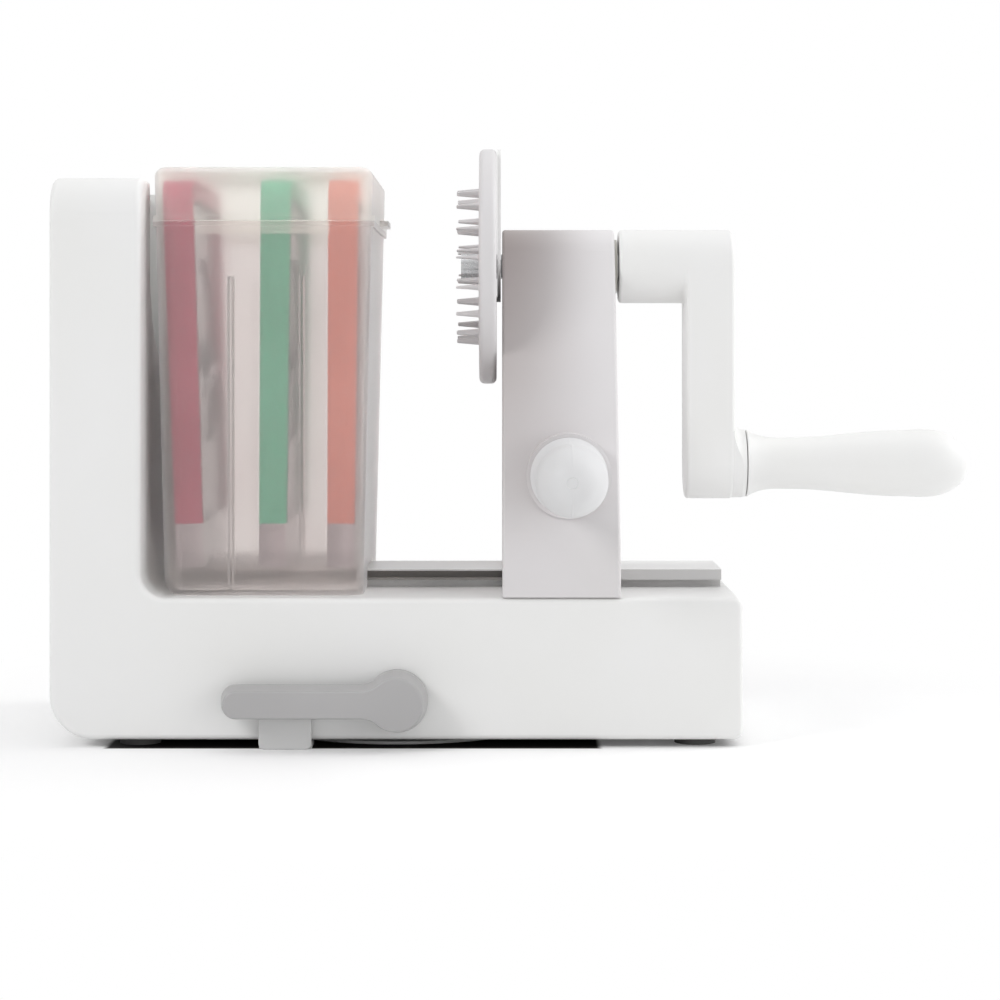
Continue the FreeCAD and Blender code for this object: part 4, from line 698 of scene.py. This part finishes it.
def finMesh():
    # flat fin on +Z with a flared foot and a rounded tip
    long = fin["length"]
    levels = fin["foot"] + [(long * t, 1.0) for t in fin["shank"]]
    levels += [(long - down, flare) for down, flare in fin["top"]]
    bm = bmesh.new()
    rings = []
    for height, flare in levels:
        t = max(height, 0.0) / long
        wide = (fin["root"] + (fin["tip"] - fin["root"]) * t) / 2
        thick = (fin["rootThick"] + (fin["tipThick"] - fin["rootThick"]) * t ** fin["taper"]) / 2
        grow = (flare - 1) * thick
        wide, thick = wide + grow, thick + grow
        ring = []
        for i in range(20):
            across, through = math.cos(math.tau * i / 20), math.sin(math.tau * i / 20)
            x = abs(across) ** fin["square"] * math.copysign(wide, across)
            y = abs(through) ** fin["square"] * math.copysign(thick, through)
            ring.append(bm.verts.new((x * mm, y * mm, height * mm)))
        rings.append(ring)
    skinRings(bm, rings)
    bm.faces.new(rings[0])
    bm.faces.new(rings[-1])
    bmesh.ops.recalc_face_normals(bm, faces=bm.faces)
    for face in bm.faces:
        face.smooth = True
    mesh = bpy.data.meshes.new("fin")
    bm.to_mesh(mesh)
    bm.free()
    return mesh


def ringTree():
    # repeats the fin round a circle that faces -X
    tree, source = newTree("ring of fins", {"Geometry": "Geometry", "Count": "Int", "Radius": "Float",
                                            "Phase": "Float", "Middle": "Vector", "Material": "Material"})
    circle = addNode(tree, "GeometryNodeMeshCircle", None,
                     {"Vertices": source.outputs["Count"], "Radius": source.outputs["Radius"]})
    place = addNode(tree, "GeometryNodeInputPosition")
    facing = addNode(tree, "FunctionNodeAlignRotationToVector", None, {"Vector": place.outputs[0]},
                     axis="X", pivot_axis="Z")
    ring = addNode(tree, "GeometryNodeInstanceOnPoints", None,
                   {"Points": circle.outputs[0], "Instance": source.outputs["Geometry"],
                    "Rotation": facing.outputs[0]})
    phase = addNode(tree, "ShaderNodeCombineXYZ", None, {"Z": source.outputs["Phase"]})
    turned = addNode(tree, "GeometryNodeTransform", None,
                     {"Geometry": ring.outputs[0], "Rotation": phase.outputs[0]})
    upright = addNode(tree, "GeometryNodeTransform", {"Rotation": (0.0, math.radians(-90), 0.0)},
                      {"Geometry": turned.outputs[0], "Translation": source.outputs["Middle"]})
    closeTree(tree, source, upright.outputs[0])
    return tree


def discProfile():
    # seat of the steel ring, groove round it, dished face, raised rim, flat back and bore
    h = holder
    deep, step, edge = h["back"] - h["front"], h["rimStep"], h["edge"]
    inner = h["radius"] - edge - h["rimWidth"]
    near, far, end = (h["hub"] + off for off in h["groove"])
    pairs = [(h["seatDepth"], 0.0), (h["seatDepth"], h["seat"]), (step, h["seat"]), (step, h["hub"])]
    pairs += [(step - h["grooveDepth"], near), (step - h["grooveDepth"], far), (step, end)]
    pairs += [(step, inner - h["rimFoot"]), (step * 0.5, inner - h["rimMiddle"]), (h["rimFace"], inner)]
    pairs += arcPairs(edge, h["radius"] - edge, edge, 180, 90, 7)
    pairs += arcPairs(deep - edge, h["radius"] - edge, edge, 90, 0, 7)
    pairs += [(deep, h["bore"]), (deep - h["boreDepth"], h["bore"]), (deep - h["boreDepth"], 0.0)]
    return pairs


def buildHolder():
    h = holder
    bm = bmesh.new()
    turn(bm, discProfile(), Vector((h["front"], 0, h["height"])), rightward, upward, 128)
    bmesh.ops.recalc_face_normals(bm, faces=bm.faces)
    disc = looseObject("disc", bm)
    # pocket for the foot of the tab and its spring
    bm = bmesh.new()
    boxMesh(bm, (h["back"] - h["pocketDepth"], -h["pocketHalf"], h["pocketLow"]),
            (h["back"] + 1, h["pocketHalf"], h["pocketHigh"]))
    pocket = looseObject("pocket", bm)
    bm = bmesh.new()
    addMesh(bm, cutWith(disc, pocket))
    tree = ringTree()
    finSource = finMesh()
    middle = ((h["front"] + h["rimStep"]) * mm, 0.0, h["height"] * mm)
    for name, (count, radius, phase) in finRings.items():
        values = {"Count": count, "Radius": radius * mm, "Phase": math.radians(phase), "Middle": middle,
                  "Material": holderAbs}
        addMesh(bm, runTree(meshObject(name, finSource.copy()), tree, values))
    placeMesh(bm, "holder_disc", "crank", "food_holder", holderAbs, 34)


# Wound spring behind the disc; the foot of the tab presses its coils together

spring = {"top": 172.5, "length": 7.0, "x": 37.3, "radius": 1.2, "wire": 0.18, "turns": 8.0, "travel": 2.0}


def buildSpring():
    tree, source = newTree("wound spring", {"Turns": "Float", "Radius": "Float", "Wire": "Float",
                                            "Height": "Float", "Start": "Vector", "Material": "Material"})
    coil = addNode(tree, "GeometryNodeCurveSpiral", {"Resolution": 28},
                   {"Rotations": source.outputs["Turns"], "Start Radius": source.outputs["Radius"],
                    "End Radius": source.outputs["Radius"], "Height": source.outputs["Height"]})
    wire = addNode(tree, "GeometryNodeCurvePrimitiveCircle", {"Resolution": 10}, {"Radius": source.outputs["Wire"]})
    rod = addNode(tree, "GeometryNodeCurveToMesh", {"Fill Caps": True}, {0: coil.outputs[0], 1: wire.outputs[0]})
    placed = addNode(tree, "GeometryNodeTransform", None,
                     {"Geometry": rod.outputs[0], "Translation": source.outputs["Start"]})
    closeTree(tree, source, placed.outputs[0])
    thick, x, low = spring["wire"], spring["x"] * mm, spring["top"] - spring["length"]
    values = {"Turns": spring["turns"], "Radius": spring["radius"] * mm, "Wire": thick * mm,
              "Height": (spring["length"] - 2 * thick) * mm, "Start": (x, 0.0, (low + thick) * mm), "Material": steel}
    bm = bmesh.new()
    addMesh(bm, runTree(meshObject("coil", bpy.data.meshes.new("coil")), tree, values))
    piece = placeMesh(bm, "release_coil", "crank", "release_spring", steel, 60)
    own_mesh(piece)


# Suction cup: in the real cup the middle goes with the plunger and the rim stays on the table; here the skirt is only
# baked where it stands, and the pull tab goes with the base

cup = {"radius": 57.0, "rim": 1.2, "lip": 0.3, "hollow": 3.0, "hub": 12.0, "hubHigh": 8.0, "shoulder": 22.0,
       "shoulderHigh": 6.0, "stud": 5.0, "studHigh": 11.0, "soft": 0.5, "bendLow": 1.2, "bendHigh": 7.2}
pullTab = {"left": -52.4, "right": -32.2, "back": -66.3, "thick": 3.0, "high": 15.0, "corner": 3.0, "foot": 2.4,
           "strip": 2.2, "stripBack": -55.0, "soft": 0.4}


def cupProfile():
    # underside from the middle out, lip, skirt from the rim up, hub and stud
    c = cup
    soft, lip = c["soft"], c["lip"]
    under = (0.0, c["radius"] - 2 * c["rim"])
    shoulder = (c["shoulderHigh"], c["shoulder"])
    pairs = [(c["hollow"], 0.0)] + straightPairs((c["hollow"], c["hub"]), under, 16) + [under]
    pairs += arcPairs(lip, c["radius"] - lip, lip, 180, 90, 3)
    pairs += arcPairs(c["rim"] - lip, c["radius"] - lip, lip, 90, 0, 3)
    pairs += straightPairs((c["rim"], c["radius"] - 2 * lip), shoulder, 16)
    pairs += [shoulder, (c["shoulderHigh"], c["hub"])]
    pairs += arcPairs(c["hubHigh"] - soft, c["hub"] - soft, soft, 90, 0, 4) + [(c["hubHigh"], c["stud"])]
    pairs += arcPairs(c["studHigh"] - soft, c["stud"] - soft, soft, 90, 0, 4) + [(c["studHigh"], 0.0)]
    return pairs


def tabRing(bm, inset, y):
    # outline of the tab seen from the front, moved in by inset
    tab = pullTab
    ring = []
    corners = [(tab["right"], tab["high"], tab["corner"], 0), (tab["left"], tab["high"], tab["corner"], 90),
               (tab["left"], 0.0, tab["foot"], 180), (tab["right"], 0.0, tab["foot"], 270)]
    for x, z, size, begin in corners:
        x += size if begin in (90, 180) else -size
        z += size if begin > 90 else -size
        for i in range(9):
            angle = math.radians(begin + 90 * i / 8)
            along, up = (size - inset) * math.cos(angle), (size - inset) * math.sin(angle)
            ring.append(bm.verts.new(((x + along) * mm, y * mm, (z + up) * mm)))
    return ring


def buildCup():
    bm = bmesh.new()
    turn(bm, cupProfile(), origin, upward, rightward, 128)
    bend = ("base", "cup_plunger", upward * cup["bendLow"] * mm, upward * cup["bendHigh"] * mm)
    placeMesh(bm, "cup_skirt", bend, "suction_cup", cupRubber)
    bm = bmesh.new()
    back, front, edge = pullTab["back"], pullTab["back"] - pullTab["thick"], pullTab["soft"]
    rings = [tabRing(bm, edge, back), tabRing(bm, 0.0, back - edge), tabRing(bm, 0.0, front + edge)]
    for degrees in (30, 60, 90):
        angle = math.radians(degrees)
        rings.append(tabRing(bm, edge * (1 - math.cos(angle)), front + edge * (1 - math.sin(angle))))
    skinRings(bm, rings)
    bm.faces.new(rings[0])
    bm.faces.new(rings[-1])
    # strip from the cup to the tab
    boxMesh(bm, (pullTab["left"], back, 0.0), (pullTab["right"], pullTab["stripBack"], pullTab["strip"]))
    placeMesh(bm, "cup_pull_tab", "base", "suction_cup", cupRubber)


buildHandles()
buildLever()
buildScrews()
buildHolder()
buildSpring()
buildCup()
print("pieces ready")
